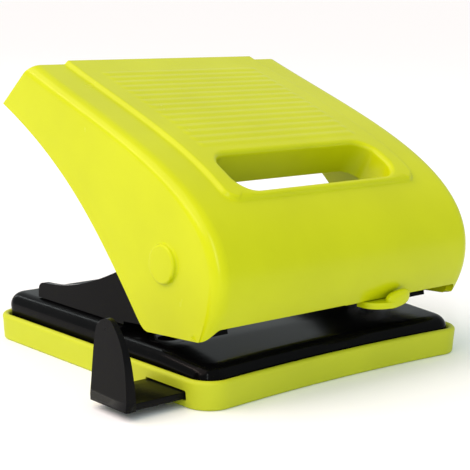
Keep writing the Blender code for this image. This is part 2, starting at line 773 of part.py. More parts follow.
def build_press_lever(material, parent):
    """Cross bar over the brackets with two arms: each has an eye on the axle and a nose."""
    half = PIN_X + LEVER_ARM_WIDTH / 2
    bar_front = AXLE_Y - EYE_RADIUS
    bar_rear = AXLE_Y + 8.5 * MM
    top = LEVER_Z + LEVER_THICKNESS
    origin = (0.0, AXLE_Y, AXLE_Z)
    bm = block((-half, bar_front, LEVER_Z), (half, bar_rear, top))
    lever = make_object("press_lever", bm, material, origin, parent)
    nose = (PIN_Y, NOSE_Z)
    outline = [(bar_front + 0.5 * MM, LEVER_Z + LEVER_THICKNESS / 2)]
    outline += arc((AXLE_Y, AXLE_Z), EYE_RADIUS - 0.4 * MM, 180, 310, 6)
    outline += arc(nose, NOSE_RADIUS, 250, 390, 8)
    outline.append((bar_rear - 1.0 * MM, LEVER_Z + LEVER_THICKNESS / 2))
    for side in (-1, 1):
        low_x = side * PIN_X - LEVER_ARM_WIDTH / 2
        high_x = side * PIN_X + LEVER_ARM_WIDTH / 2
        inner = min(abs(low_x), abs(high_x))
        outer = max(abs(low_x), abs(high_x)) - 0.2 * MM
        add(lever, prism(outline, side * inner, side * outer))
        place = (side * PIN_X, AXLE_Y, AXLE_Z)
        cut(lever, rod(AXLE_RADIUS + RUN_GAP, -LEVER_ARM_WIDTH, LEVER_ARM_WIDTH, place, "X"))
        hole = (side * SCREW_X, SCREW_Y, 0.0)
        cut(lever, rod(SCREW_RADIUS + REST_GAP, LEVER_Z - 1 * MM, top + 1 * MM, hole, steps=16))
    return lever


def build_handle_screw(side_name, side, material, parent):
    top = LEVER_Z - REST_GAP
    low = top - SCREW_HEAD_HEIGHT
    profile = [
        (0.0, low),
        (SCREW_HEAD_RADIUS - 0.5 * MM, low),
        (SCREW_HEAD_RADIUS, low + 0.5 * MM),
        (SCREW_HEAD_RADIUS, top),
        (SCREW_RADIUS, top),
        (SCREW_RADIUS, top + SCREW_LENGTH - SCREW_RADIUS),
        (0.0, top + SCREW_LENGTH),
    ]
    place = (side * SCREW_X, SCREW_Y, 0.0)
    origin = (side * SCREW_X, SCREW_Y, top)
    make_object(f"{side_name}_handle_screw", turned(profile, place, 16), material, origin, parent)


# ---------------------------------------------------------------- handle


def ridge_curve():
    """Side view of the handle's top and front, rear end first."""
    front = -HANDLE_FRONT
    return [
        from_axle(HANDLE_REACH - 14.5 * MM, HANDLE_RISE),
        from_axle(HANDLE_REACH - 55.5 * MM, HANDLE_RISE - 15.5 * MM),
        from_axle(front, HANDLE_RISE - 26.5 * MM),
        from_axle(front, -3.3 * MM),
    ]


def hem_curve():
    """Side view of the cheeks' lower edge, rear tip first."""
    return [
        from_axle(HANDLE_REACH, HANDLE_RISE - 12.3 * MM),
        from_axle(HANDLE_REACH - 36.3 * MM, HANDLE_RISE - 28.6 * MM),
        from_axle(HANDLE_REACH - 50.2 * MM, HANDLE_RISE - 46.0 * MM),
        from_axle(10.7 * MM, -17.6 * MM),
    ]


def ridge_share_at(y):
    """Parameter of the ridge curve where it passes y, by halving."""
    low, high = 0.0, 1.0
    curve = ridge_curve()
    for _ in range(40):
        middle = (low + high) / 2
        if bezier(curve, middle)[0] > y:
            low = middle
        else:
            high = middle
    return low


def stations():
    """Pairs of points, ridge and hem, with the fillet radius and whether the panel is raised."""
    ridge = ridge_curve()
    hem = hem_curve()
    panel_end = ridge_share_at(AXLE_Y - PANEL_FRONT)
    shares = sorted([k / 12 for k in range(13)] + [panel_end, panel_end + 0.008])
    hem_share = 0.86
    found = []
    for share in shares:
        radius = RIDGE_RADIUS + (CORNER_RADIUS - RIDGE_RADIUS) * share**4
        found.append((bezier(ridge, share), bezier(hem, hem_share * share), radius, share <= panel_end))
    front = ridge[-1]
    foot = from_axle(-HANDLE_FRONT + FOOT_INSET, -16.1 * MM)
    hem_points = [bezier(hem, 0.93), bezier(hem, 1.0)]
    hem_points.append(from_axle(7.6 * MM, -19.9 * MM))
    hem_points.append(from_axle(-14.0 * MM, -18.3 * MM))
    count = len(hem_points)
    for k, low in enumerate(hem_points):
        share = (k + 1) / count
        high = tuple(a + (b - a) * share for a, b in zip(front, foot))
        found.append((high, low, CORNER_RADIUS, False))
    return found


def section(high, low, radius, half, sink, raised):
    """Right half of a cross-section, cheek's edge first, as (x, y, z); sink moves the top in."""
    along = Vector((low[0] - high[0], low[1] - high[1]))
    along.normalize()
    start = Vector(high) + along * sink
    points = [(half, low[0], low[1])]
    steps = 3
    for k in range(steps + 1):
        angle = math.pi / 2 * (1 - k / steps)
        place = start + along * radius * (1 - math.cos(angle))
        points.append((half - radius + radius * math.sin(angle), place.x, place.y))
    if sink == 0.0:
        lift = start - along * (PANEL_RAISE if raised else 0.0)
        points.append((PANEL_HALF, start.x, start.y))
        points.append((PANEL_HALF - 0.5 * MM, lift.x, lift.y))
    return points


def handle_skin(bm, half, sink):
    rings = []
    for high, low, radius, raised in stations():
        tight = max(radius - sink, 1.5 * MM)
        points = section(high, low, tight, half, sink, raised)
        right = [bm.verts.new(p) for p in points]
        left = [bm.verts.new((-x, y, z)) for x, y, z in reversed(points)]
        rings.append(right + left)
    for one, two in zip(rings, rings[1:]):
        for k in range(len(one) - 1):
            bm.faces.new((one[k], one[k + 1], two[k + 1], two[k]))
    return rings


def window_frame():
    """Middle of the window on the handle's top and the matrix that lays a plan outline there."""
    curve = ridge_curve()
    share = ridge_share_at(AXLE_Y - WINDOW_OFFSET)
    before = Vector(bezier(curve, share - 0.05))
    after = Vector(bezier(curve, share + 0.05))
    slope = math.atan2(before.y - after.y, before.x - after.x)
    middle = bezier(curve, share)
    return Matrix.Translation((0.0, *middle)) @ Matrix.Rotation(slope, 4, "X")


def window_prism(grow, low, high):
    """Rounded slot shape, grown outwards, from low to high along the handle's own upright."""
    half = WINDOW_HALF + grow
    reach = WINDOW_SIZE / 2 + grow
    radius = WINDOW_CORNER + grow
    middle = (half - radius, reach - radius)
    outline = arc(middle, radius, 0, 90, 4)
    outline += [(-x, y) for x, y in reversed(outline)]
    outline += [(x, -y) for x, y in reversed(outline)]
    bm = prism(outline, low, high, "Z")
    bmesh.ops.transform(bm, matrix=window_frame(), verts=bm.verts)
    return bm


def roof_at(y, sink):
    """Point under the handle's top at y."""
    curve = ridge_curve()
    return bezier(curve, ridge_share_at(y))[1] - sink


def build_handle_shell(material, parent):
    bm = bmesh.new()
    outer = handle_skin(bm, HANDLE_HALF, 0.0)
    inner = handle_skin(bm, HANDLE_HALF - HANDLE_WALL, HANDLE_WALL)
    for a, b in ((0, 0), (-1, -1)):
        bm.faces.new(list(outer[a]) + list(reversed(inner[b])))
    for column in (0, -1):
        for k in range(len(outer) - 1):
            quad = (outer[k][column], outer[k + 1][column], inner[k + 1][column], inner[k][column])
            bm.faces.new(quad)
    origin = (0.0, AXLE_Y, AXLE_Z)
    shell = make_object("handle_shell", bm, material, origin, parent)
    add(shell, window_prism(WINDOW_COLLAR, -WINDOW_DEPTH, -HANDLE_WALL / 2))
    boss_low = LEVER_Z + LEVER_THICKNESS + REST_GAP
    trim_x = WINDOW_HALF + WINDOW_COLLAR + 1 * MM
    trim_low = (-trim_x, AXLE_Y - 2 * EYE_RADIUS, AXLE_Z)
    cut(shell, block(trim_low, (trim_x, AXLE_Y + 3 * EYE_RADIUS, boss_low)))
    ends = (SCREW_Y - BOSS_BLOCK / 2, SCREW_Y + BOSS_BLOCK / 2)
    for side in (-1, 1):
        roof = [(y, roof_at(y, HANDLE_WALL / 2)) for y in reversed(ends)]
        outline = [(ends[0], boss_low), (ends[1], boss_low)] + roof
        inner_x = side * (SCREW_X - BOSS_BLOCK / 2)
        outer_x = side * (SCREW_X + BOSS_BLOCK / 2)
        add(shell, prism(outline, inner_x, outer_x))
        place = (side * SCREW_X, SCREW_Y, 0.0)
        screw_end = LEVER_Z + SCREW_LENGTH + 1 * MM
        cut(shell, rod(SCREW_RADIUS + REST_GAP, boss_low - 1 * MM, screw_end, place, steps=16))
        add(shell, axle_boss(side))
        hole = (side * HANDLE_HALF, AXLE_Y, AXLE_Z)
        depth = HANDLE_WALL + HANDLE_SIDE_GAP
        cut(shell, rod(AXLE_RADIUS + RUN_GAP, *sorted((-side * depth, -side * 0.1 * MM)), hole, "X"))
    cut(shell, window_prism(0.0, -2 * WINDOW_DEPTH, WINDOW_DEPTH))
    notch = HANDLE_HALF - EAR_WIDTH
    back = AXLE_Y - HANDLE_FRONT + FOOT_INSET + 5.4 * MM
    cut(shell, block((-notch, back - 20 * MM, 0.0), (notch, back, FRONT_EDGE_HEIGHT)))
    ear_slope = [
        (back - 20 * MM, FRONT_EDGE_HEIGHT),
        (back - 4.2 * MM, FRONT_EDGE_HEIGHT),
        (back - 1.0 * MM, FRONT_EDGE_HEIGHT - 3.7 * MM),
        (back - 1.0 * MM, 0.0),
        (back - 20 * MM, 0.0),
    ]
    cut(shell, prism(ear_slope, -HANDLE_HALF - 1 * MM, HANDLE_HALF + 1 * MM))
    return shell


def axle_boss(side):
    """Soft-edged round boss outside the cheek and a collar inside it."""
    face = HANDLE_HALF
    top = face + BOSS_RAISE
    inside = HANDLE_HALF - HANDLE_WALL - HANDLE_SIDE_GAP + 0.4 * MM
    profile = [
        (0.0, side * inside),
        (AXLE_RADIUS + 1.6 * MM, side * inside),
        (AXLE_RADIUS + 1.6 * MM, side * (face - HANDLE_WALL / 2)),
        (BOSS_RADIUS, side * (face - HANDLE_WALL / 2)),
        (BOSS_RADIUS, side * (face + 0.3 * BOSS_RAISE)),
        (BOSS_RADIUS - 0.6 * MM, side * (face + 0.85 * BOSS_RAISE)),
        (BOSS_RADIUS - 1.6 * MM, side * top),
        (0.0, side * top),
    ]
    return turned(profile, (0.0, AXLE_Y, AXLE_Z), axis="X")


# ---------------------------------------------------------------- lock slider


def build_lock(plastic, steel, parent):
    """Tab that slides under the handle's front edge, held by a screw in a slot."""
    face = AXLE_Y - HANDLE_FRONT + LOCK_INSET
    plate_front = face + HANDLE_WALL + 3 * REST_GAP
    plate_rear = plate_front + LOCK_PLATE
    tongue_top = FRONT_EDGE_HEIGHT - REST_GAP
    tongue_low = tongue_top - LOCK_TONGUE
    low_x = LOCK_MIDDLE - LOCK_LENGTH / 2
    high_x = LOCK_MIDDLE + LOCK_LENGTH / 2
    tip = face - LOCK_REACH
    origin = (LOCK_MIDDLE, face, tongue_low)
    plate = [
        (plate_front, tongue_low),
        (plate_rear, tongue_low),
        (plate_rear, tongue_low + LOCK_RISE),
        (plate_front, tongue_low + LOCK_RISE),
    ]
    slider = make_object("lock_slider", prism(plate, low_x, high_x), plastic, origin, parent)
    corner = 0.3 * LOCK_LENGTH
    tongue = [
        (low_x, plate_rear - LOCK_PLATE / 2),
        (high_x - 0.5 * MM, plate_rear - LOCK_PLATE / 2),
        (high_x - 0.5 * MM, tip + 1.2 * MM),
        (high_x - 1.7 * MM, tip),
        (low_x + corner, tip),
        (low_x, face),
    ]
    add(slider, prism(tongue, tongue_low, tongue_top, "Z"))
    thumb_low = high_x - THUMB_LENGTH
    thumb_rear = face - 1.5 * REST_GAP
    round_over = 1.0 * MM
    thumb = [
        (thumb_rear, tongue_low + LOCK_TONGUE / 2),
        (thumb_rear, tongue_low + THUMB_HEIGHT - round_over),
        (thumb_rear - round_over, tongue_low + THUMB_HEIGHT),
        (tip + round_over, tongue_low + THUMB_HEIGHT),
        (tip + 0.1 * MM, tongue_low + THUMB_HEIGHT - round_over),
        (tip + 0.1 * MM, tongue_low + LOCK_TONGUE / 2),
    ]
    add(slider, prism(thumb, thumb_low, high_x - 1.0 * MM))
    screw_z = tongue_low + 0.65 * LOCK_RISE
    radius = 1.0 * MM
    slot_half = LOCK_TRAVEL / 2
    slot = arc((LOCK_MIDDLE + slot_half, screw_z), radius + REST_GAP, -90, 90, 6)
    slot += arc((LOCK_MIDDLE - slot_half, screw_z), radius + REST_GAP, 90, 270, 6)
    slot_cut = prism([(x, -z) for x, z in slot], plate_front - 2 * MM, plate_rear + 2 * MM, "Z")
    bmesh.ops.rotate(slot_cut, verts=slot_cut.verts, matrix=Matrix.Rotation(-math.pi / 2, 3, "X"))
    cut(slider, slot_cut)
    screw_x = LOCK_MIDDLE - slot_half
    wall_in = face + 1.3 * MM
    head_y = plate_rear + REST_GAP
    profile = [
        (0.0, -wall_in),
        (radius, -wall_in),
        (radius, -head_y),
        (2.2 * MM, -head_y),
        (2.2 * MM, -head_y - 1.0 * MM),
        (1.6 * MM, -head_y - 1.4 * MM),
        (0.0, -head_y - 1.4 * MM),
    ]
    place = (screw_x, 0.0, screw_z)
    make_object("lock_screw", turned(profile, place, 16, "Y"), steel, (screw_x, face, screw_z), parent)
    hole = rod(radius + REST_GAP, -plate_front, -wall_in + RUN_GAP, place, "Y", 16)
    cut(bpy.data.objects["handle_shell"], hole)


# ---------------------------------------------------------------- the whole punch


def main():
    clear_scene()
    lime = make_material("lime_plastic", (0.56, 0.62, 0.02), 0.42)
    soft_lime = make_material("soft_lime_plastic", (0.48, 0.56, 0.02), 0.55)
    black_paint = make_material("black_paint", (0.012, 0.012, 0.014), 0.35)
    black_plastic = make_material("black_plastic", (0.015, 0.015, 0.017), 0.45)
    steel = make_material("bright_steel", (0.62, 0.62, 0.64), 0.3, 1.0)
    spring_steel = make_material("spring_steel", (0.45, 0.45, 0.47), 0.35, 1.0)
    zinc = make_material("zinc_steel", (0.55, 0.56, 0.57), 0.45, 1.0)

    frame = make_empty("frame", (0.0, 0.0, 0.0))
    tray = make_empty("tray_pull", (0.0, 0.0, 0.0))
    guide = make_empty("guide_slide", (FIN_INNER_X, RAIL_FRONT_Y, RAIL_Z))
    pivot = make_empty("handle_pivot", (0.0, AXLE_Y, AXLE_Z))
    lock = make_empty("lock_slide", (LOCK_MIDDLE, AXLE_Y - HANDLE_FRONT, FRONT_EDGE_HEIGHT))

    build_base_plate(black_paint, frame)
    build_axle(steel, frame)
    build_chip_tray(soft_lime, tray)
    build_paper_guide(black_plastic, guide)
    for side_name, side in (("left", -1), ("right", 1)):
        pin = make_empty(f"{side_name}_pin_slide", (side * PIN_X, PIN_Y, PIN_TOP))
        build_bracket(side_name, side, black_paint, frame)
        build_bracket_rivets(side_name, side, zinc, frame)
        build_die_ring(side_name, side, black_paint, frame)
        build_return_spring(side_name, side, spring_steel, frame)
        build_pin(side_name, side, steel, pin)
        build_pin_clip(side_name, side, spring_steel, pin)
        build_handle_screw(side_name, side, zinc, pivot)
    build_press_lever(zinc, pivot)
    build_handle_shell(lime, pivot)
    build_lock(lime, zinc, lock)


main()
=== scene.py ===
"""Looks of the two-hole desk punch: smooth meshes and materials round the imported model.

Metres, in the model's own frame: +Z up, paper goes in from -Y, the handle rises
towards +Y. Places come from the frame; outlines in side view are (y, z) pairs.
"""

import bisect
import json
import math

import bmesh
import bpy
from mathutils import Matrix, Vector


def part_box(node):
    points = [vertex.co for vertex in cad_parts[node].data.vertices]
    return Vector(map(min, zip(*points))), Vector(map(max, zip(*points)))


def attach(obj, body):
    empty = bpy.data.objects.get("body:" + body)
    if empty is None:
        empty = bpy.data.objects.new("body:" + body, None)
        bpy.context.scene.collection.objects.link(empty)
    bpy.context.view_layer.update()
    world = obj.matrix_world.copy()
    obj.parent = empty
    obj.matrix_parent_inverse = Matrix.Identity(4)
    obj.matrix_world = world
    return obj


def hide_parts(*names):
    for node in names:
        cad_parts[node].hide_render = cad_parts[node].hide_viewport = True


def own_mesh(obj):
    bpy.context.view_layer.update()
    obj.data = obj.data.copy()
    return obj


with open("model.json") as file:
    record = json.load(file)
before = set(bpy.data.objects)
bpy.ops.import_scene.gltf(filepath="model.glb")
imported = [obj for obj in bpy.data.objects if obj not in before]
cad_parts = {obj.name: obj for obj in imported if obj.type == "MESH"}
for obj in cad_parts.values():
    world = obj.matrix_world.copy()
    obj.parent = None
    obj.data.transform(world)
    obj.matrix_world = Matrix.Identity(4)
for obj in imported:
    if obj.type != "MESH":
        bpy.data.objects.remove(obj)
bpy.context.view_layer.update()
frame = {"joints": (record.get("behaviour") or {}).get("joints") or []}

MM = 0.001


# ---- places from the frame


def joint(name):
    return next(j for j in frame["joints"] if j["name"] == name)


def middle_of(node):
    low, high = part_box(node)
    return (Vector(low) + Vector(high)) / 2


_, AXLE_Y, AXLE_Z = joint("handle_press")["pos_m"]
AXLE_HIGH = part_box("pivot_axle")[1]
PIN_X, PIN_Y, _ = middle_of("right_punch_pin")
TRAY_LOW, TRAY_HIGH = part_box("chip_tray")
BASE_LOW, BASE_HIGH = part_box("base_plate")
BRACKET_LOW, BRACKET_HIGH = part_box("right_punch_bracket")
GUIDE_LOW, GUIDE_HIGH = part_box("paper_guide")
LEVER_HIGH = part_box("press_lever")[1]
LOCK_LOW, LOCK_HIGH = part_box("lock_slider")

REST_GAP = 0.3 * MM
SLIDE_GAP = 0.4 * MM
RIVET_HOLE = 2.3 * MM  # radius
AXLE_BORE = 2.6 * MM  # radius
PIN_BORE = 2.95 * MM  # radius
PIN_TRAVEL = 5.9 * MM
TRAY_HALF, REAR_Y, TRAY_HEIGHT = TRAY_HIGH
FRONT_Y = TRAY_LOW[1]
BASE_HALF, _, DECK_HEIGHT = BASE_HIGH
SKIRT_Z = BASE_LOW[2]
HANDLE_HALF = AXLE_HIGH[0] + 0.4 * MM
HANDLE_FRONT = 22.4 * MM
HANDLE_REACH = 79.0 * MM
HANDLE_RISE = 48.7 * MM
HANDLE_WALL = 2.2 * MM


# ---- mesh helpers


def finish_mesh(name, bm, body, material, replaces=(), smooth=35.0):
    """Turn a bmesh into a piece that rides on a body, with one material."""
    bmesh.ops.recalc_face_normals(bm, faces=bm.faces)
    mesh = bpy.data.meshes.new(name)
    bm.to_mesh(mesh)
    bm.free()
    mesh.shade_smooth()
    mesh.set_sharp_from_angle(angle=math.radians(smooth))
    mesh.materials.append(material)
    piece = bpy.data.objects.new(name, mesh)
    bpy.context.collection.objects.link(piece)
    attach(piece, body)
    if replaces:
        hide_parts(*replaces)
    return piece


def soften(piece, width, segments=3, angle=30.0, by_weight=False):
    """Round the edges of a piece with a bevel."""
    bevel = piece.modifiers.new("soft_edges", "BEVEL")
    bevel.width = width
    bevel.segments = segments
    bevel.limit_method = "WEIGHT" if by_weight else "ANGLE"
    bevel.angle_limit = math.radians(angle)
    bevel.use_clamp_overlap = True
    normals = piece.modifiers.new("even_shading", "WEIGHTED_NORMAL")
    normals.keep_sharp = True
    normals.weight = 60


def boolean(piece, operation, *parts):
    """Boolean closed meshes into or out of a piece, and set its sharp edges again."""
    joined = bmesh.new()
    for part in parts:
        mesh = bpy.data.meshes.new("part")
        part.to_mesh(mesh)
        part.free()
        joined.from_mesh(mesh)
        bpy.data.meshes.remove(mesh)
    bmesh.ops.recalc_face_normals(joined, faces=joined.faces)
    mesh = bpy.data.meshes.new("tool")
    joined.to_mesh(mesh)
    joined.free()
    tool = bpy.data.objects.new("tool", mesh)
    bpy.context.collection.objects.link(tool)
    modifier = piece.modifiers.new("boolean", "BOOLEAN")
    modifier.operation = operation
    modifier.object = tool
    modifier.solver = "EXACT"
    bpy.context.view_layer.update()
    evaluated = piece.evaluated_get(bpy.context.evaluated_depsgraph_get())
    baked = bpy.data.meshes.new_from_object(evaluated)
    piece.modifiers.remove(modifier)
    old = piece.data
    baked.name = old.name
    piece.data = baked
    bpy.data.meshes.remove(old)
    bpy.data.objects.remove(tool)
    baked.shade_smooth()
    baked.set_sharp_from_angle(angle=math.radians(35.0))


def prism(outline, start, end, axis="X"):
    """Closed prism: an outline pushed along an axis. X takes (y, z) points, Z takes (x, y)."""
    bm = bmesh.new()
    place = {
        "X": lambda p, d: (d, p[0], p[1]),
        "Y": lambda p, d: (p[0], d, p[1]),
        "Z": lambda p, d: (p[0], p[1], d),
    }[axis]
    low = [bm.verts.new(place(p, start)) for p in outline]
    high = [bm.verts.new(place(p, end)) for p in outline]
    bm.faces.new(low)
    bm.faces.new(high)
    for i in range(len(outline)):
        j = (i + 1) % len(outline)
        bm.faces.new((low[i], low[j], high[j], high[i]))
    return bm


def rectangle(low, high):
    """Four corners from two opposite ones."""
    return [low, (high[0], low[1]), high, (low[0], high[1])]


def block(low, high):
    return prism(rectangle(low[1:], high[1:]), low[0], high[0])


def rod(radius, low, high):
    """Profile of a plain cylinder for turned()."""
    return [(0.0, low), (radius, low), (radius, high), (0.0, high)]


def turned(profile, centre, steps=64, axis="Z"):
    """Closed ring or solid: (radius, height) points turned about an axis."""
    bm = bmesh.new()
    rings = []
    for radius, height in profile:
        if radius == 0.0:
            rings.append([bm.verts.new((0.0, 0.0, height))])
            continue
        turn = [math.tau * k / steps for k in range(steps)]
        ring = [(radius * math.cos(a), radius * math.sin(a), height) for a in turn]
        rings.append([bm.verts.new(p) for p in ring])
    pairs = list(zip(rings, rings[1:]))
    if all(len(ring) > 1 for ring in rings):
        pairs.append((rings[-1], rings[0]))
    for lower, upper in pairs:
        for k in range(steps):
            m = (k + 1) % steps
            if len(lower) == 1:
                bm.faces.new((lower[0], upper[m], upper[k]))
            elif len(upper) == 1:
                bm.faces.new((lower[k], lower[m], upper[0]))
            else:
                bm.faces.new((lower[k], lower[m], upper[m], upper[k]))
    if axis != "Z":
        about = {"X": "Y", "Y": "X"}[axis]
        bmesh.ops.rotate(bm, verts=bm.verts, matrix=Matrix.Rotation(math.pi / 2, 3, about))
    bmesh.ops.translate(bm, verts=bm.verts, vec=centre)
    return bm


def rounded_profile(points, radius, steps=4, closed=False):
    """Round the corners of a profile's turns with arcs of about the given radius."""
    count = len(points)
    rounded = []
    for k, here in enumerate(points):
        if not closed and k in (0, count - 1):
            rounded.append(here)
            continue
        before = Vector(points[k - 1])
        after = Vector(points[(k + 1) % count])
        corner = Vector(here)
        reach = min(radius, (before - corner).length * 0.45, (after - corner).length * 0.45)
        start = corner + (before - corner).normalized() * reach
        end = corner + (after - corner).normalized() * reach
        for j in range(steps + 1):
            t = j / steps
            point = start * (1 - t) ** 2 + corner * 2 * t * (1 - t) + end * t**2
            rounded.append(tuple(point))
    return rounded


def arc(centre, radius, start, end, steps):
    turn = [math.radians(start + (end - start) * k / steps) for k in range(steps + 1)]
    return [(centre[0] + radius * math.cos(a), centre[1] + radius * math.sin(a)) for a in turn]


def bezier(points, t):
    s = 1.0 - t
    weights = (s**3, 3 * t * s**2, 3 * t**2 * s, t**3)
    return tuple(sum(w * p[k] for w, p in zip(weights, points)) for k in (0, 1))


def bezier_run(points, steps, first=0):
    return [bezier(points, k / steps) for k in range(first, steps + 1)]


def spread(start, end, steps):
    """Even values from start to end, both included."""
    return [start + (end - start) * k / steps for k in range(steps + 1)]


def quarter(steps):
    return spread(0.0, math.pi / 2, steps)


def stations(*edges):
    """Even values between (start, steps) edges, up to the start of the last one."""
    values = []
    for (start, steps), (end, _) in zip(edges, edges[1:]):
        values += spread(start, end, steps)[:-1]
    return values + [edges[-1][0]]


def smoothstep(low, high, value):
    t = max(0.0, min(1.0, (value - low) / (high - low)))
    return t * t * (3 - 2 * t)


def from_axle(y, z):
    return (AXLE_Y + y, AXLE_Z + z)


# ---- materials


class Nodes:
    """A material's node tree, built from short calls."""

    def __init__(self, name, colour, roughness, metallic=0.0, specular=0.5):
        self.material = bpy.data.materials.new(name)
        self.material.use_nodes = True
        self.tree = self.material.node_tree
        self.shader = self.tree.nodes["Principled BSDF"]
        self.put(self.shader, {"Base Color": (*colour, 1.0), "Roughness": roughness})
        self.put(self.shader, {"Metallic": metallic, "Specular IOR Level": specular})
        self.coordinates = self.tree.nodes.new("ShaderNodeTexCoord").outputs["Object"]

    def put(self, node, inputs):
        """Set a node's inputs, or link those whose value is another node's output."""
        for name, value in inputs.items():
            if isinstance(value, bpy.types.NodeSocket):
                self.tree.links.new(value, node.inputs[name])
            else:
                node.inputs[name].default_value = value

    def add(self, kind, output, inputs):
        node = self.tree.nodes.new("ShaderNode" + kind)
        self.put(node, inputs)
        return node.outputs[output]

    def stretched(self, scale):
        return self.add("Mapping", "Vector", {"Scale": scale, "Vector": self.coordinates})

    def noise(self, scale, detail=2.0, roughness=0.5, vector=None):
        inputs = {"Scale": scale, "Detail": detail, "Roughness": roughness}
        inputs["Vector"] = vector or self.coordinates
        return self.add("TexNoise", "Fac", inputs)

    def cells(self, scale):
        return self.add("TexVoronoi", "Distance", {"Scale": scale, "Vector": self.coordinates})

    def ramp(self, source, low, high, colour_low, colour_high):
        ramp = self.tree.nodes.new("ShaderNodeValToRGB")
        for stop, place, colour in zip(ramp.color_ramp.elements, (low, high), (colour_low, colour_high)):
            stop.position = place
            stop.color = (*colour, 1.0)
        self.put(ramp, {"Fac": source})
        return ramp.outputs["Color"]

    def remap(self, source, low, high, to_low, to_high):
        inputs = {"Value": source, "From Min": low, "From Max": high, "To Min": to_low, "To Max": to_high}
        return self.add("MapRange", "Result", inputs)

    def mix(self, factor, one, colour):
        mix = self.tree.nodes.new("ShaderNodeMix")
        mix.data_type = "RGBA"
        self.put(mix, {"Factor": factor, 6: one, 7: (*colour, 1.0)})
        return mix.outputs[2]

    def bump(self, height, distance, strength=1.0, under=None):
        inputs = {"Strength": strength, "Distance": distance, "Height": height}
        if under:
            inputs["Normal"] = under
        return self.add("Bump", "Normal", inputs)

    def use(self, colour, roughness, normal):
        self.put(self.shader, {"Base Color": colour, "Roughness": roughness, "Normal": normal})
        return self.material


def scaled(colour, share):
    return tuple(c * share for c in colour)


def moulded_plastic(name, colour, roughness, specular, grain=0.006 * MM, grain_scale=5200.0):
    """Spark-eroded mould grain, slow tone drift from the flow of the plastic, faint handling marks."""
    n = Nodes(name, colour, roughness, specular=specular)
    drift = n.noise(38.0, 3.0, 0.55)
    tone = n.ramp(drift, 0.35, 0.68, scaled(colour, 0.965), scaled(colour, 1.03))
    marks = n.noise(55.0, 5.0, 0.6, n.stretched((1.0, 1.6, 1.0)))
    wear = n.remap(marks, 0.4, 0.75, roughness - 0.01, roughness + 0.03)
    fine = n.noise(grain_scale, 2.0)
    coarse = n.noise(grain_scale / 5, 2.0)
    normal = n.bump(fine, grain, 1.0, n.bump(coarse, 2 * grain))
    return n.use(tone, wear, normal)


def enamel(name, colour, roughness):
    """Stove enamel on sheet steel: slight orange peel, fine dust and rubbed spots."""
    n = Nodes(name, colour, roughness, specular=0.05)
    peel = n.noise(620.0, 2.0)
    fine = n.noise(3800.0, 1.0)
    rubbed = n.noise(70.0, 5.0, 0.65)
    dust = n.noise(1500.0, 3.0, 0.7)
    tone = n.ramp(rubbed, 0.4, 0.72, colour, scaled(colour, 1.5))
    specks = n.remap(dust, 0.66, 0.8, 0.0, 0.35)
    tone = n.mix(specks, tone, (0.02, 0.02, 0.021))
    shine = n.remap(rubbed, 0.35, 0.7, roughness - 0.02, roughness + 0.05)
    return n.use(tone, shine, n.bump(fine, 0.002 * MM, 1.0, n.bump(peel, 0.010 * MM)))


def machined(name, colour, roughness, along):
    """Ground or turned steel: fine lines along one direction and a few darker oil stains."""
    n = Nodes(name, colour, roughness, metallic=1.0)
    lines = n.noise(900.0, 4.0, 0.7, n.stretched(along))
    stains = n.noise(160.0, 4.0, 0.6)
    tone = n.ramp(stains, 0.35, 0.7, scaled(colour, 0.82), colour)
    shine = n.remap(lines, 0.3, 0.7, roughness - 0.08, roughness + 0.1)
    return n.use(tone, shine, n.bump(lines, 0.004 * MM, 0.6))


def zinc_plate(name, colour, roughness):
    """Bright zinc: cloudy patches of tone and a faint grain."""
    n = Nodes(name, colour, roughness, metallic=1.0)
    clouds = n.noise(240.0, 4.0, 0.6)
    cells = n.cells(700.0)
    tone = n.ramp(clouds, 0.3, 0.7, scaled(colour, 0.78), colour)
    shine = n.remap(clouds, 0.3, 0.75, roughness - 0.06, roughness + 0.12)
    return n.use(tone, shine, n.bump(cells, 0.004 * MM, 0.5))


LIME = moulded_plastic("lime_plastic", (0.54, 0.59, 0.003), 0.25, 0.2)
SOFT_LIME = moulded_plastic("soft_lime_plastic", (0.50, 0.55, 0.02), 0.5, 0.2, grain=0.008 * MM)
BLACK_PAINT = enamel("black_paint", (0.0016, 0.0016, 0.0018), 0.17)
BLACK_PLASTIC = moulded_plastic("black_plastic", (0.003, 0.003, 0.0034), 0.26, 0.07, grain=0.008 * MM)
STEEL = machined("bright_steel", (0.62, 0.62, 0.64), 0.26, (1.0, 1.0, 26.0))
AXLE_STEEL = machined("axle_steel", (0.62, 0.62, 0.64), 0.26, (26.0, 1.0, 1.0))
SPRING_STEEL = machined("spring_steel", (0.42, 0.42, 0.44), 0.34, (3.0, 3.0, 1.0))
ZINC = zinc_plate("zinc_steel", (0.56, 0.57, 0.58), 0.36)


# ---- handle surface


RIDGE = [
    from_axle(HANDLE_REACH - 14.5 * MM, HANDLE_RISE),
    from_axle(HANDLE_REACH - 55.5 * MM, HANDLE_RISE - 15.5 * MM),
    from_axle(-HANDLE_FRONT, HANDLE_RISE - 26.5 * MM),
    from_axle(-HANDLE_FRONT, -3.3 * MM),
]
HEM = [
    from_axle(HANDLE_REACH, HANDLE_RISE - 12.3 * MM),
    from_axle(HANDLE_REACH - 36.3 * MM, HANDLE_RISE - 28.6 * MM),
    from_axle(HANDLE_REACH - 50.2 * MM, HANDLE_RISE - 46.0 * MM),
    from_axle(10.7 * MM, -17.6 * MM),
]
HEM_SHARE = 0.86
RIDGE_RADIUS = 4.0 * MM
CORNER_RADIUS = 4.3 * MM
FRONT_EDGE_Z = 21.6 * MM
EAR_Z = AXLE_Z - 18.4 * MM
FOOT_IN = 3.5 * MM  # front leans back towards its lower edge
LOCK_FACE = LOCK_LOW[1] + 3.6 * MM  # front of the handle at the lock

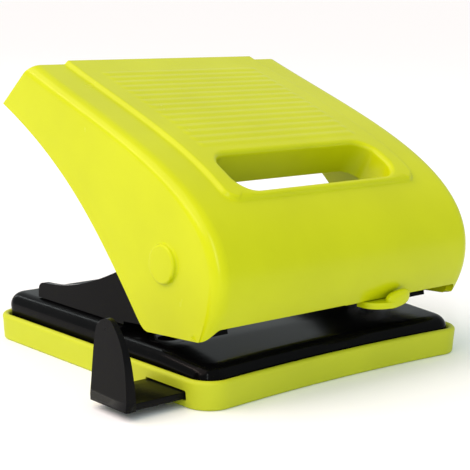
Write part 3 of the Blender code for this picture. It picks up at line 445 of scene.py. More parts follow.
PANEL_HALF = HANDLE_HALF - 12.5 * MM
PANEL_RAISE = 1.2 * MM
PANEL_SLOPE = 1.1 * MM
PANEL_CORNER = 5.0 * MM
PANEL_FRONT = 11.1 * MM
WINDOW_HALF = PANEL_HALF - 7.0 * MM
WINDOW_REACH = 8.1 * MM
WINDOW_CORNER = 6.0 * MM
WINDOW_OFFSET = 1.75 * MM
WINDOW_DEPTH = 10.0 * MM
WINDOW_COLLAR = 2.0 * MM
WINDOW_FILLET = 1.6 * MM

RIB_COUNT = 15
RIB_PITCH = 3.4 * MM
RIB_RAISE = 0.2 * MM
RIB_HALF = 30.0 * MM
RIB_FRONT_GAP = 3.4 * MM  # last rib to the window


class Curve:
    """The ridge by arc length from its rear end."""

    def __init__(self, points, samples=600):
        self.points = points
        self.table = [0.0]
        last = Vector(bezier(points, 0.0))
        for k in range(1, samples + 1):
            here = Vector(bezier(points, k / samples))
            self.table.append(self.table[-1] + (here - last).length)
            last = here
        self.samples = samples
        self.length = self.table[-1]

    def share(self, distance):
        low = bisect.bisect_right(self.table, distance, 1, self.samples) - 1
        span = self.table[low + 1] - self.table[low]
        return (low + (distance - self.table[low]) / span) / self.samples

    def at(self, distance):
        """Point, forward tangent and outward normal at a distance."""
        t = self.share(distance)
        step = 1e-3
        here = Vector(bezier(self.points, t))
        before = Vector(bezier(self.points, max(t - step, 0.0)))
        after = Vector(bezier(self.points, min(t + step, 1.0)))
        tangent = (after - before).normalized()
        return here, tangent, Vector((tangent.y, -tangent.x))

    def distance_at_y(self, y):
        low, high = 0.0, self.length
        for _ in range(50):
            middle = (low + high) / 2
            if bezier(self.points, self.share(middle))[0] > y:
                low = middle
            else:
                high = middle
        return low


TOP = Curve(RIDGE)
WINDOW_AT = TOP.distance_at_y(AXLE_Y - WINDOW_OFFSET)
PANEL_END = TOP.distance_at_y(AXLE_Y - PANEL_FRONT)
RIBS_END = WINDOW_AT - WINDOW_REACH - RIB_FRONT_GAP
RIBS_START = RIBS_END - RIB_COUNT * RIB_PITCH


def panel_depth(x, w):
    """Distance inside the panel's rounded outline, negative outside it."""
    dx = abs(x) - (PANEL_HALF - PANEL_CORNER)
    dw = w - (PANEL_END - PANEL_CORNER)
    outside = math.hypot(max(dx, 0.0), max(dw, 0.0))
    inside = min(max(dx, dw), 0.0)
    return PANEL_CORNER - outside - inside


def lift(x, w):
    """Height of the raised panel and its ribs over the plain surface."""
    height = PANEL_RAISE * smoothstep(-0.1 * MM, PANEL_SLOPE, panel_depth(x, w))
    if RIBS_START < w < RIBS_END:
        wave = 0.5 - 0.5 * math.cos(math.tau * (w - RIBS_START) / RIB_PITCH)
        wave = wave**0.8
        ends = smoothstep(RIB_HALF + 0.9 * MM, RIB_HALF - 0.9 * MM, abs(x))
        height += RIB_RAISE * wave * ends
    return height


def top_point(x, w, raised=True):
    here, _, normal = TOP.at(w)
    place = here + normal * (lift(x, w) if raised else 0.0)
    return Vector((x, place.x, place.y))


# where the rows of the handle's grid cross the ridge: close together on the ribs
ROW_DISTANCES = stations(
    (0.0, 1), (1.1 * MM, 2), (RIBS_START, 8 * RIB_COUNT), (RIBS_END, 4),
    (WINDOW_AT - WINDOW_REACH - 2.4 * MM, 16), (WINDOW_AT + WINDOW_REACH - 1.0 * MM, 14),
    (PANEL_END + 0.6 * MM, 22), (TOP.length, 0),
)
FLAT_X = PANEL_HALF + 1.4 * MM
TOP_COLUMNS = stations(
    (0.0, 18), (RIB_HALF - 1.4 * MM, 6), (RIB_HALF + 1.2 * MM, 8), (PANEL_HALF - 2.0 * MM, 12), (FLAT_X, 0)
)
BORDER_STEPS = 5
FILLET_STEPS = 12
CHEEK_STEPS = 26
FRONT_ROWS = 18


def half_section(high, low, radius, w):
    """Right half of a cross-section from the middle out and down the cheek."""
    along = Vector((low[0] - high[0], low[1] - high[1])).normalized()
    points = [top_point(x, w) for x in TOP_COLUMNS]
    edge = HANDLE_HALF - radius
    for x in spread(FLAT_X, edge, BORDER_STEPS)[1:]:
        points.append(Vector((x, *high)))
    for angle in quarter(FILLET_STEPS)[1:]:
        place = Vector(high) + along * radius * (1 - math.cos(angle))
        points.append(Vector((edge + radius * math.sin(angle), place.x, place.y)))
    start = points[-1]
    end = Vector((HANDLE_HALF, *low))
    for share in spread(0.0, 1.0, CHEEK_STEPS)[1:]:
        eased = share + 0.35 / CHEEK_STEPS * math.sin(math.pi * share)
        points.append(start.lerp(end, eased))
    return points


def edge_height(x):
    """Height of the front's lower edge: it steps down to the ears at both sides."""
    ear = smoothstep(HANDLE_HALF - 3.9 * MM, HANDLE_HALF + 0.3 * MM, abs(x))
    return FRONT_EDGE_Z - (FRONT_EDGE_Z - EAR_Z) * ear


# rounded rear corner of the ear, from the hem on to its flat lower edge
EAR_CORNER = [bezier(HEM, HEM_SHARE), HEM[3]]
EAR_CORNER += [from_axle(9.9 * MM, -19.6 * MM), from_axle(7.0 * MM, -19.9 * MM)]


def front_rows(last_section):
    """Rows from the end of the ridge down to the front's lower edge and the ears."""
    upper = last_section[:-CHEEK_STEPS]
    bottoms = []
    for point in upper:
        height = edge_height(point.x)
        inward = FOOT_IN * (point.z - height) / (point.z - FRONT_EDGE_Z)
        bottoms.append(Vector((point.x, point.y + inward, height)))
    bottoms[-1] = Vector((HANDLE_HALF, AXLE_Y - HANDLE_FRONT + CORNER_RADIUS + FOOT_IN, EAR_Z))
    rows = []
    for u in spread(0.0, 1.0, FRONT_ROWS)[1:]:
        row = []
        for point, bottom in zip(upper, bottoms):
            place = point.lerp(bottom, u)
            place.y = point.y + (bottom.y - point.y) * u**2
            row.append(place)
        seam = row[-1]
        hem = Vector((HANDLE_HALF, *bezier(EAR_CORNER, u)))
        row += [seam.lerp(hem, share) for share in spread(0.0, 1.0, CHEEK_STEPS)[1:]]
        rows.append(row)
    return rows


def handle_rows():
    """Grid of the whole outer surface, left cheek's hem to right cheek's hem in each row."""
    halves = []
    for w in ROW_DISTANCES:
        t = TOP.share(w)
        radius = RIDGE_RADIUS + (CORNER_RADIUS - RIDGE_RADIUS) * t**4
        halves.append(half_section(bezier(RIDGE, t), bezier(HEM, HEM_SHARE * t), radius, w))
    halves += front_rows(halves[-1])
    rows = []
    for half in halves:
        left = [Vector((-p.x, p.y, p.z)) for p in reversed(half[1:])]
        rows.append(left + half)
    return rows


def grid_normals(rows):
    """Unit normals of a grid, pointing out of the handle."""
    count = len(rows)
    width = len(rows[0])
    normals = []
    for r in range(count):
        line = []
        for c in range(width):
            down = rows[min(r + 1, count - 1)][c] - rows[max(r - 1, 0)][c]
            across = rows[r][min(c + 1, width - 1)] - rows[r][max(c - 1, 0)]
            line.append(down.cross(across).normalized())
        normals.append(line)
    return normals


class Skin:
    """Outer grid of the handle and the skin a wall's thickness under it, as vertices of a bmesh."""

    def __init__(self):
        self.bm = bmesh.new()
        self.rows = handle_rows()
        self.normals = grid_normals(self.rows)
        self.count = len(self.rows)
        self.width = len(self.rows[0])
        self.middle = self.width // 2
        self.outer = [[self.bm.verts.new(p) for p in row] for row in self.rows]
        self.inner = self.inner_skin()

    def plain(self, row, column):
        """A point of the grid without panel and ribs, for the inside."""
        point = self.rows[row][column].copy()
        if row < len(ROW_DISTANCES) and abs(point.x) < FLAT_X + 0.1 * MM:
            point = top_point(point.x, ROW_DISTANCES[row], raised=False)
        return point

    def inner_skin(self):
        plain = [[self.plain(r, c) for c in range(self.width)] for r in range(self.count)]
        normals = grid_normals(plain)
        inner = []
        for points, outward in zip(plain, normals):
            inner.append([self.bm.verts.new(p - n * HANDLE_WALL) for p, n in zip(points, outward)])
        return inner

    def quads(self, grid, skip, flip):
        for r in range(self.count - 1):
            for c in range(self.width - 1):
                if (r, c) in skip:
                    continue
                quad = (grid[r][c], grid[r][c + 1], grid[r + 1][c + 1], grid[r + 1][c])
                self.bm.faces.new(quad[::-1] if flip else quad)

    def rim(self):
        """Join the two skins along the open border."""
        last = self.count - 1
        end = self.width - 1
        border = [(0, c) for c in range(end)] + [(r, end) for r in range(last)]
        border += [(last, c) for c in range(end, 0, -1)] + [(r, 0) for r in range(last, 0, -1)]
        weights = self.bm.edges.layers.float.new("bevel_weight_edge")
        for k, (r, c) in enumerate(border):
            p, q = border[(k + 1) % len(border)]
            quad = (self.outer[r][c], self.outer[p][q], self.inner[p][q], self.inner[r][c])
            self.bm.faces.new(quad)
            for pair in ((quad[0], quad[1]), (quad[3], quad[2])):
                self.bm.edges.get(pair)[weights] = 1.0


def block_border(low_row, high_row, low_column, high_column):
    """Grid positions round a block of quads, in order, starting at its first row's middle."""
    run = [(low_row, c) for c in range(low_column, high_column)]
    run += [(r, high_column) for r in range(low_row, high_row)]
    run += [(high_row, c) for c in range(high_column, low_column, -1)]
    run += [(r, low_column) for r in range(high_row, low_row, -1)]
    return run


def stitch(bm, outer, inner):
    """Join two rings of equal count."""
    count = len(outer)
    for k in range(count):
        m = (k + 1) % count
        bm.faces.new((outer[k], outer[m], inner[m], inner[k]))


def stitch_all(bm, rings):
    for outer, inner in zip(rings, rings[1:]):
        stitch(bm, outer, inner)


def slot_point(x, w, grow=0.0):
    """Nearest point of the window's rounded outline to a place on the top."""
    half = WINDOW_HALF + grow
    reach = WINDOW_REACH + grow
    radius = WINDOW_CORNER + grow
    core_x = max(-(half - radius), min(half - radius, x))
    core_w = max(-(reach - radius), min(reach - radius, w - WINDOW_AT))
    out = Vector((x - core_x, w - WINDOW_AT - core_w))
    if out.length < 1e-9:
        out = Vector((0.0, 1.0))
    out = out.normalized() * radius
    return core_x + out.x, WINDOW_AT + core_w + out.y


def cut_window(skin):
    """A slot through both skins: rounded upper edge, wall down to a collar, and back up inside."""
    bm = skin.bm
    grow = WINDOW_FILLET + 1.0 * MM
    low_row = max(r for r, w in enumerate(ROW_DISTANCES) if w < WINDOW_AT - WINDOW_REACH - grow)
    high_row = min(r for r, w in enumerate(ROW_DISTANCES) if w > WINDOW_AT + WINDOW_REACH + grow)
    xs = [p.x for p in skin.rows[low_row]]
    high_column = min(c for c, x in enumerate(xs) if x > WINDOW_HALF + grow)
    low_column = skin.width - 1 - high_column
    border = block_border(low_row, high_row, low_column, high_column)
    places = [(skin.rows[r][c].x, ROW_DISTANCES[r]) for r, c in border]
    block_quads = {(r, c) for r in range(low_row, high_row) for c in range(low_column, high_column)}

    rings = [[skin.outer[r][c] for r, c in border]]
    for share in (0.35, 0.7, 1.0):
        ring = []
        for place in places:
            x, w = slot_point(*place, WINDOW_FILLET)
            mx = place[0] + (x - place[0]) * share
            mw = place[1] + (w - place[1]) * share
            ring.append(bm.verts.new(top_point(mx, mw)))
        rings.append(ring)
    seat, forward, normal = TOP.at(WINDOW_AT)
    up = Vector((0.0, normal.x, normal.y))
    for angle in spread(0.0, math.pi / 2, 7)[1:]:
        down = up * WINDOW_FILLET * (1 - math.cos(angle))
        ring = []
        for place in places:
            x, w = slot_point(*place, WINDOW_FILLET * (1 - math.sin(angle)))
            ring.append(bm.verts.new(top_point(x, w) - down))
        rings.append(ring)
    lowest = LEVER_HIGH[2] + REST_GAP
    wall = [(0.0, 0.5), (0.0, 1.0), (0.8 * MM, 1.0), (WINDOW_COLLAR, 1.0), (WINDOW_COLLAR, 0.35)]
    for grow, share in wall:
        ring = []
        for place in places:
            x, w = slot_point(*place, grow)
            top = top_point(x, w) - up * WINDOW_FILLET
            y, z = seat + forward * (w - WINDOW_AT) - normal * WINDOW_DEPTH
            bottom = Vector((x, y, max(z, lowest)))
            ring.append(bm.verts.new(top.lerp(bottom, share)))
        rings.append(ring)
    rings.append([skin.inner[r][c] for r, c in border])
    stitch_all(bm, rings)
    return block_quads


def boss_patch(skin, side):
    """Round boss with a soft edge on a cheek over the axle's end."""
    bm = skin.bm
    face = side * HANDLE_HALF
    radius = 5.5 * MM
    reach = radius + 2.2 * MM
    inside = []
    for r in range(skin.count - 1):
        for c in range(skin.width - 1):
            corners = [skin.rows[a][b] for a in (r, r + 1) for b in (c, c + 1)]
            if any(abs(p.x - face) > 1e-6 for p in corners):
                continue
            if any(math.hypot(p.y - AXLE_Y, p.z - AXLE_Z) < reach for p in corners):
                inside.append((r, c))
    low_row = min(r for r, _ in inside)
    high_row = max(r for r, _ in inside) + 1
    low_column = min(c for _, c in inside)
    high_column = max(c for _, c in inside) + 1
    border = block_border(low_row, high_row, low_column, high_column)
    quads = {(r, c) for r in range(low_row, high_row) for c in range(low_column, high_column)}
    axle = Vector((face, AXLE_Y, AXLE_Z))
    rings = [[skin.outer[r][c] for r, c in border]]
    away = [(skin.rows[r][c] - axle) for r, c in border]
    height = 1.25 * MM
    for share in (0.4, 0.8):
        ring = []
        for offset in away:
            near = offset.normalized() * (radius + 0.5 * MM)
            ring.append(bm.verts.new(axle + offset.lerp(near, share)))
        rings.append(ring)
    foot = ((0.5, 0.0), (0.22, 0.06), (0.05, 0.22), (-0.04, 0.5))
    profile = [(radius + out * MM, up * MM) for out, up in foot]
    round_over = 0.75 * MM
    for a in quarter(6):
        out = radius - 0.08 * MM - round_over * (1 - math.cos(a))
        profile.append((out, height - round_over * (1 - math.sin(a))))
    profile += [(radius * share, height) for share in (0.6, 0.35, 0.12)]
    for out, up in profile:
        ring = []
        for offset in away:
            place = axle + offset.normalized() * out
            place.x += side * up
            ring.append(bm.verts.new(place))
        rings.append(ring)
    stitch_all(bm, rings)
    middle = bm.verts.new(axle + Vector((side * height, 0.0, 0.0)))
    last = rings[-1]
    for one, two in zip(last, last[1:] + last[:1]):
        bm.faces.new((one, two, middle))
    return quads


def build_handle():
    skin = Skin()
    holes = boss_patch(skin, 1) | boss_patch(skin, -1)
    window = cut_window(skin)
    skin.quads(skin.outer, holes | window, False)
    skin.quads(skin.inner, window, True)
    skin.rim()
    handle = finish_mesh("handle_skin", skin.bm, "handle", LIME, ["handle_shell"], 50.0)
    soften(handle, 0.7 * MM, 4, by_weight=True)
    return handle


def inside_piece(name, bm, width=0.5 * MM):
    piece = finish_mesh(name, bm, "handle", LIME)
    soften(piece, width, 2)
    return piece


def build_handle_insides():
    """Collars for the axle, posts for the screws and stiffening ribs under the roof."""
    inner = HANDLE_HALF - HANDLE_WALL
    for side_name, side in (("left", -1), ("right", 1)):
        collar = [(2.6 * MM, 0.0), (4.1 * MM, 0.0), (4.1 * MM, 2.0 * MM), (2.6 * MM, 2.0 * MM)]
        start = inner - 1.2 * MM if side > 0 else -inner - 0.8 * MM
        inside_piece(f"{side_name}_axle_collar", turned(collar, (start, AXLE_Y, AXLE_Z), 64, "X"), 0.3 * MM)
        screw = middle_of(f"{side_name}_handle_screw")
        low_z = LEVER_HIGH[2] + REST_GAP
        roof = bezier(RIDGE, TOP.share(TOP.distance_at_y(screw.y)))[1] - HANDLE_WALL + 0.6 * MM
        post = [(1.75 * MM, low_z), (3.2 * MM, low_z), (3.5 * MM, roof), (1.75 * MM, roof)]
        inside_piece(f"{side_name}_screw_post", turned(post, (screw.x, screw.y, 0.0), 48), 0.3 * MM)
    for k, x in enumerate((-18.0 * MM, 0.0, 18.0 * MM)):
        start = TOP.distance_at_y(AXLE_Y + 62.0 * MM)
        end = WINDOW_AT - WINDOW_REACH - 3.2 * MM
        upper = []
        lower = []
        for w in spread(start, end, 24):
            here, _, normal = TOP.at(w)
            share = math.sin(math.pi * min(1.0, (w - start) / (end - start) * 0.94 + 0.03))
            upper.append(tuple(here - normal * (HANDLE_WALL - 0.3 * MM)))
            lower.append(tuple(here - normal * (HANDLE_WALL + (0.6 + 3.4 * share) * MM)))
        web = prism(upper + lower[::-1], x - 0.7 * MM, x + 0.7 * MM)
        inside_piece(f"roof_web_{k + 1}", web, 0.35 * MM)


# ---- base plate and tray outlines


BASE_CORNER = 8.1 * MM
FRONT_STEPS = 24
CORNER_STEPS = 14
FRONT_BOW = 2.0 * MM
BED_HEIGHT = 12.4 * MM
BED_FALL = 1.6 * MM
STOP_Y = FRONT_Y + 42.6 * MM
STOP_SLOPE = 0.6 * MM
BED_LEVEL = 20.0 * MM
BASE_FILLET = 4.0 * MM
BASE_WALL = 1.6 * MM
SKIRT_TAPER = 0.6 * MM


def plan_outline(inset, side_y, radius):
    """Right half of the plan, front middle to rear middle, with points at side_y along the side."""
    half = TRAY_HALF - inset
    front = FRONT_Y + inset
    rear = REAR_Y - inset
    radius = max(radius - inset, 1.5 * MM)
    corner_x = half - radius
    points = []
    for share in spread(0.0, 1.0, FRONT_STEPS)[:-1]:
        points.append((corner_x * share, front + FRONT_BOW * (1.0 - share**2)))
    points += arc((corner_x, front + radius), radius, -90, 0, CORNER_STEPS)
    points += [(half, y) for y in side_y]
    points += arc((corner_x, rear - radius), radius, 0, 90, CORNER_STEPS)
    points += [(corner_x * share, rear) for share in spread(1.0, 0.0, 10)[1:]]
    return points


def full_ring(bm, half_points, heights):
    right = [bm.verts.new((x, y, z)) for (x, y), z in zip(half_points, heights)]
    inner = list(zip(half_points, heights))[1:-1]
    left = [bm.verts.new((-x, y, z)) for (x, y), z in reversed(inner)]
    return right + left


def cap(bm, ring, first, count_of_breaks):
    """Close a ring with strips between opposite side points, and one face at each end."""
    count = len(ring)
    last = first + count_of_breaks - 1
    front = list(range(0, first + 1)) + [count - k for k in range(first, 0, -1)]
    bm.faces.new([ring[k % count] for k in front])
    for k in range(first, last):
        bm.faces.new((ring[k], ring[k + 1], ring[count - k - 1], ring[count - k]))
    middle = count // 2
    rear = list(range(last, middle + 1)) + [count - k for k in range(middle - 1, last - 1, -1)]
    bm.faces.new([ring[k % count] for k in rear])


FALL_Y = STOP_Y - STOP_SLOPE - BED_LEVEL


def deck_height(y, shift, soft):
    """Height of the deck at y: it falls to the front, is level, and steps up at the paper stop."""
    fall = FALL_Y + shift
    if y <= fall + 1.5 * MM:
        reach = fall - FRONT_Y
        drop = BED_FALL * max(0.0, (fall - y) / reach)
        if abs(y - fall) < 1.5 * MM:
            drop = BED_FALL / reach * (fall + 1.5 * MM - y) ** 2 / (6.0 * MM)
        return BED_HEIGHT - drop
    foot = STOP_Y - STOP_SLOPE + shift
    height = DECK_HEIGHT - BED_HEIGHT
    return BED_HEIGHT + height * smoothstep(foot - soft, foot + STOP_SLOPE + soft, y)


def side_points(shift):
    foot = STOP_Y - STOP_SLOPE + shift
    fall = FALL_Y + shift
    points = [fall - 8 * MM, fall - 4 * MM]
    points += spread(fall - 1.5 * MM, fall + 1.5 * MM, 6)
    points += [foot - 12 * MM, foot - 6 * MM, foot - 2 * MM]
    points += spread(foot - 0.25 * MM, foot + STOP_SLOPE + 0.25 * MM, 8)
    points += [foot + 4 * MM, foot + 20 * MM, foot + 36 * MM]
    return points


def deck_rings(bm, inset, shift, drop, fillet):
    side_y = side_points(shift)
    rings = []
    for z, extra in ((SKIRT_Z, SKIRT_TAPER), (SKIRT_Z + 2.0 * MM, SKIRT_TAPER * 0.6)):
        outline = plan_outline(inset + extra, side_y, BASE_CORNER)
        rings.append(full_ring(bm, outline, [z] * len(outline)))
    for angle in quarter(9):
        outline = plan_outline(inset + fillet * (1 - math.cos(angle)), side_y, BASE_CORNER)
        down = drop + fillet * (1 - math.sin(angle))
        rings.append(full_ring(bm, outline, [deck_height(y, shift, 0.2 * MM) - down for _, y in outline]))
    return rings, len(side_y)


def build_base_plate():
    bm = bmesh.new()
    inset = TRAY_HALF - BASE_HALF
    outer, breaks = deck_rings(bm, inset, 0.0, 0.0, BASE_FILLET)
    inner, _ = deck_rings(bm, inset + BASE_WALL, BASE_WALL, BASE_WALL, BASE_FILLET - BASE_WALL)
    first = FRONT_STEPS + CORNER_STEPS + 1
    for rings in (outer, inner):
        stitch_all(bm, rings)
        cap(bm, rings[-1], first, breaks)
    stitch(bm, outer[0], inner[0])
    base = finish_mesh("base_pressing", bm, "frame", BLACK_PAINT, ["base_plate"])
    die_low, die_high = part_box("right_die_ring")
    pocket = (die_high.x - die_low.x) / 2 + REST_GAP
    low = BED_HEIGHT - BASE_WALL - 2.8 * MM
    chip = pocket - 2.25 * MM
    bosses = []
    holes = []
    for side in (-1, 1):
        place = (side * PIN_X, PIN_Y, 0.0)
        bosses.append(turned(rod(pocket + 2 * MM, low, BED_HEIGHT - 0.8 * MM), place, 64))
        step = [(0.0, low - MM), (chip, low - MM), (chip, die_low.z - REST_GAP)]
        step += [(pocket, die_low.z - REST_GAP), (pocket, BED_HEIGHT + MM), (0.0, BED_HEIGHT + MM)]
        holes.append(turned(step, place, 64))
        for which in ("front", "rear"):
            rivet = middle_of(f"right_{which}_rivet")
            hole = rod(RIVET_HOLE, SKIRT_Z, DECK_HEIGHT + MM)
            holes.append(turned(hole, (side * PIN_X, rivet.y, 0.0), 48))
    boolean(base, "UNION", *bosses)
    boolean(base, "DIFFERENCE", *holes)
    return base


def build_tray():
    """Soft pan with a flared wall, a ledge inside and a channel for the guide's rail."""
    bm = bmesh.new()
    flare = 0.5 * MM
    wall = 2.2 * MM
    floor = 1.6 * MM
    ledge = 4.7 * MM

    def lean(z):
        return flare * (1 - z / TRAY_HEIGHT)

    foot = 0.7 * MM
    inside = wall + 1.9 * MM  # past the ledge
    steps = []
    for a in spread(-math.pi / 2, 0.0, 5):
        steps.append((lean(0) + foot * (1 - math.cos(a)), foot * (1 + math.sin(a))))
    steps += [(lean(z), z) for z in (3.0 * MM, 5.5 * MM)]
    top = wall / 2
    for a in spread(math.pi, 0.0, 10):
        steps.append((top * (1 + math.cos(a)), TRAY_HEIGHT - top * (1 - math.sin(a))))
    steps += [(lean(ledge) + wall, ledge), (lean(ledge) + inside, ledge), (lean(floor) + inside, floor)]
    rings = []
    side_y = spread(-28.0 * MM, 36.0 * MM, 8)
    for inset, z in steps:
        outline = plan_outline(inset, side_y, BASE_CORNER)
        rings.append(full_ring(bm, outline, [z] * len(outline)))
    stitch_all(bm, rings)
    bm.faces.new(rings[0])
    bm.faces.new(rings[-1])
    tray = finish_mesh("tray_pan", bm, "tray", SOFT_LIME, ["chip_tray"])
    rail_low, rail_high = rail_box()
    wall_in = TRAY_HALF - flare - inside
    channel = []
    for low_y in (rail_low.y - SLIDE_GAP - 0.8 * MM, rail_high.y + SLIDE_GAP):
        low = (-wall_in - MM, low_y, floor / 2)
        channel.append(block(low, (-wall_in + 34 * MM, low_y + 0.8 * MM, rail_high.z)))
    boolean(tray, "UNION", *channel)
    gap = SLIDE_GAP
    corners = rectangle((rail_low.y - gap, rail_low.z - gap), (rail_high.y + gap, rail_high.z + gap))
    window = rounded_profile(corners, 0.6 * MM, closed=True)
    boolean(tray, "DIFFERENCE", prism(window, -TRAY_HALF - MM, -wall_in + MM))


# ---- paper guide


def rail_box():
    """Corners of the guide's flat rail."""
    low = Vector((GUIDE_LOW[0] + 3.3 * MM, FRONT_Y + 8.4 * MM, GUIDE_LOW[2]))
    return low, Vector((GUIDE_HIGH[0], low.y + 16.4 * MM, low.z + 1.9 * MM))


def build_guide():
    rail_low, rail_high = rail_box()
    _, front, foot = rail_low
    rear = rail_high.y
    tip = GUIDE_HIGH[2]
    height = tip - foot
    shoulder = (front + 4.8 * MM, tip - 1.9 * MM)
    crest = (front + 11.4 * MM, tip - 1.6 * MM)
    front_edge = [(front - 0.6 * MM, foot), (front - 0.4 * MM, foot + 0.42 * height)]
    front_edge += [(front + 0.1 * MM, tip - 6.6 * MM), shoulder]
    top_edge = [shoulder, (front + 6.6 * MM, tip + 0.7 * MM), (front + 9.0 * MM, tip - 0.2 * MM), crest]
    rear_edge = [crest, (front + 13.6 * MM, tip - 3.2 * MM)]
    rear_edge += [(rear - 2.6 * MM, foot + 0.5 * height), (rear - 1.1 * MM, foot)]
    outline = bezier_run(front_edge, 22) + bezier_run(top_edge, 16, 1) + bezier_run(rear_edge, 22, 1)
    fin_bm = prism(outline, GUIDE_LOW[0], rail_low.x)
    taper = 1.9 * MM
    for vert in fin_bm.verts:
        if vert.co.x > GUIDE_LOW[0] + MM:
            vert.co.x -= taper * (vert.co.z - foot) / height
    sides = [f for f in fin_bm.faces if len(f.verts) > 4]
    rim = list({e for f in sides for e in f.edges if e.verts[0].co.z + e.verts[1].co.z > 2.1 * foot})
    bmesh.ops.bevel(fin_bm, geom=rim, offset=0.45 * MM, segments=4, profile=0.5, affect="EDGES")
    fin = finish_mesh("guide_blade", fin_bm, "guide", BLACK_PLASTIC, ["paper_guide"])
    section = rounded_profile(rectangle((front, foot), (rear, rail_high.z)), 0.35 * MM, closed=True)
    boolean(fin, "UNION", prism(section, rail_low.x - 1.7 * MM, rail_high.x))


# ---- punch brackets


def bracket_outline():
    """Side view of a bracket, the height of its head's underside, and its hollow back edge."""
    low_z = BRACKET_LOW[2]
    head_z = 16.8 * MM
    rear_y = BRACKET_HIGH[1]
    rear_top = low_z + 4.9 * MM
    eye = arc((AXLE_Y, AXLE_Z), BRACKET_HIGH[2] - AXLE_Z, 180, 20, 32)
    back = [eye[-1], from_axle(19.5 * MM, -2.0 * MM), (AXLE_Y + 37.0 * MM, rear_top + 0.9 * MM)]
    back.append((rear_y - 3.4 * MM, rear_top))
    nose = [back[-1], (rear_y - 0.5 * MM, rear_top - 0.2 * MM), (rear_y, rear_top - 1.4 * MM)]
    nose.append((rear_y, rear_top - 3.2 * MM))
    stop = STOP_Y + REST_GAP
    run = bezier_run(back, 30)
    outline = [(rear_y, low_z), (stop, low_z), (stop, head_z), (BRACKET_LOW[1], head_z)]
    return outline + eye + run[1:] + bezier_run(nose, 10, 1), head_z, run


def build_bracket(side_name, side):
    outline, head_z, back = bracket_outline()
    width = BRACKET_HIGH[0] - BRACKET_LOW[0]
    low_x = side * PIN_X - width / 2
    high_x = side * PIN_X + width / 2
    bm = prism(outline, low_x, high_x)
    for height, size in ((head_z, 1.2 * MM), (BRACKET_LOW[2], 0.9 * MM)):
        under = [
            e
            for e in bm.edges
            if all(abs(v.co.z - height) < 1e-6 for v in e.verts)
            and abs(e.verts[0].co.x - e.verts[1].co.x) < 1e-6
        ]
        bmesh.ops.bevel(bm, geom=under, offset=size, segments=4, affect="EDGES")
    name = f"{side_name}_bracket_pressing"
    piece = finish_mesh(name, bm, "frame", BLACK_PAINT, [f"{side_name}_punch_bracket"])
    head_top = head_z + 4.2 * MM
    web_top = BRACKET_LOW[2] + 1.8 * MM
    wall = 1.8 * MM
    inside_y = BRACKET_LOW[1] + wall
    behind = BRACKET_HIGH[1] + 5 * MM
    above = AXLE_Z + 15 * MM
    step = [(inside_y, head_top), (PIN_Y + 6.0 * MM, head_top), (STOP_Y, web_top)]
    channel = rounded_profile(step, 0.8 * MM) + [(behind, web_top), (behind, above), (inside_y, above)]
    boolean(piece, "DIFFERENCE", prism(channel, low_x + wall, high_x - wall))
    lower = [(y, max(z - 3.4 * MM, web_top + 0.3 * MM)) for y, z in back]
    slope = lower + [(behind, lower[-1][1]), (behind, above), (lower[0][0], above)]
    inner_wall = sorted((side * PIN_X, side * (PIN_X - width)))
    boolean(piece, "DIFFERENCE", prism(slope, *inner_wall))
    guide_bore = rod(PIN_BORE, head_z - MM, head_top + MM)
    holes = [turned(guide_bore, (side * PIN_X, PIN_Y, 0.0), 64)]
    holes.append(turned(rod(AXLE_BORE, -width, width), (side * PIN_X, AXLE_Y, AXLE_Z), 64, "X"))
    for which in ("front", "rear"):
        rivet = middle_of(f"right_{which}_rivet")
        bore = rod(RIVET_HOLE, BRACKET_LOW[2] - MM, web_top + MM)
        holes.append(turned(bore, (side * PIN_X, rivet.y, 0.0), 48))
    boolean(piece, "DIFFERENCE", *holes)
    soften(piece, 0.25 * MM, 2, angle=50.0)


# ---- small turned and bent parts


def build_rivets(side_name, side):
    for which in ("front", "rear"):
        name = f"{side_name}_{which}_rivet"
        low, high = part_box(name)
        head = 1.3 * MM
        radius = 3.5 * MM
        stem = 2.0 * MM
        dome = [(radius * math.cos(a), head * math.sin(a)) for a in quarter(10)[:-1]]
        profile = [(0.0, low.z)] + [(r, low.z + head - h) for r, h in reversed(dome)]
        profile += [(stem, low.z + head), (stem, high.z - head)]
        profile += [(r, high.z - head + h) for r, h in dome] + [(0.0, high.z)]
        bm = turned(profile, (side * PIN_X, middle_of(name).y, 0.0), 48)
        finish_mesh(f"{name}_turned", bm, "frame", ZINC, [name])


def build_die(side_name, side):
    name = f"{side_name}_die_ring"
    low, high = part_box(name)
    outer = (high.x - low.x) / 2
    bore = PIN_BORE
    edge = 0.2 * MM
    keen = 0.05 * MM
    profile = [(bore + edge, low.z), (outer - edge, low.z), (outer, low.z + edge), (outer, high.z - edge)]
    profile += [(outer - edge, high.z), (bore + keen, high.z), (bore, high.z - keen), (bore, low.z + edge)]
    bm = turned(profile, (side * PIN_X, PIN_Y, 0.0), 96)
    finish_mesh(f"{name}_pressed", bm, "frame", BLACK_PAINT, [name])


def build_axle():
    low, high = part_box("pivot_axle")
    radius = (high.z - low.z) / 2
    profile = [(0.0, low.x), (radius - 0.5 * MM, low.x), (radius, low.x + 0.5 * MM)]
    profile += [(radius, high.x - 0.5 * MM), (radius - 0.5 * MM, high.x), (0.0, high.x)]
    bm = turned(rounded_profile(profile, 0.2 * MM), (0.0, AXLE_Y, AXLE_Z), 96, "X")
    finish_mesh("pivot_axle_ground", bm, "frame", AXLE_STEEL, ["pivot_axle"])


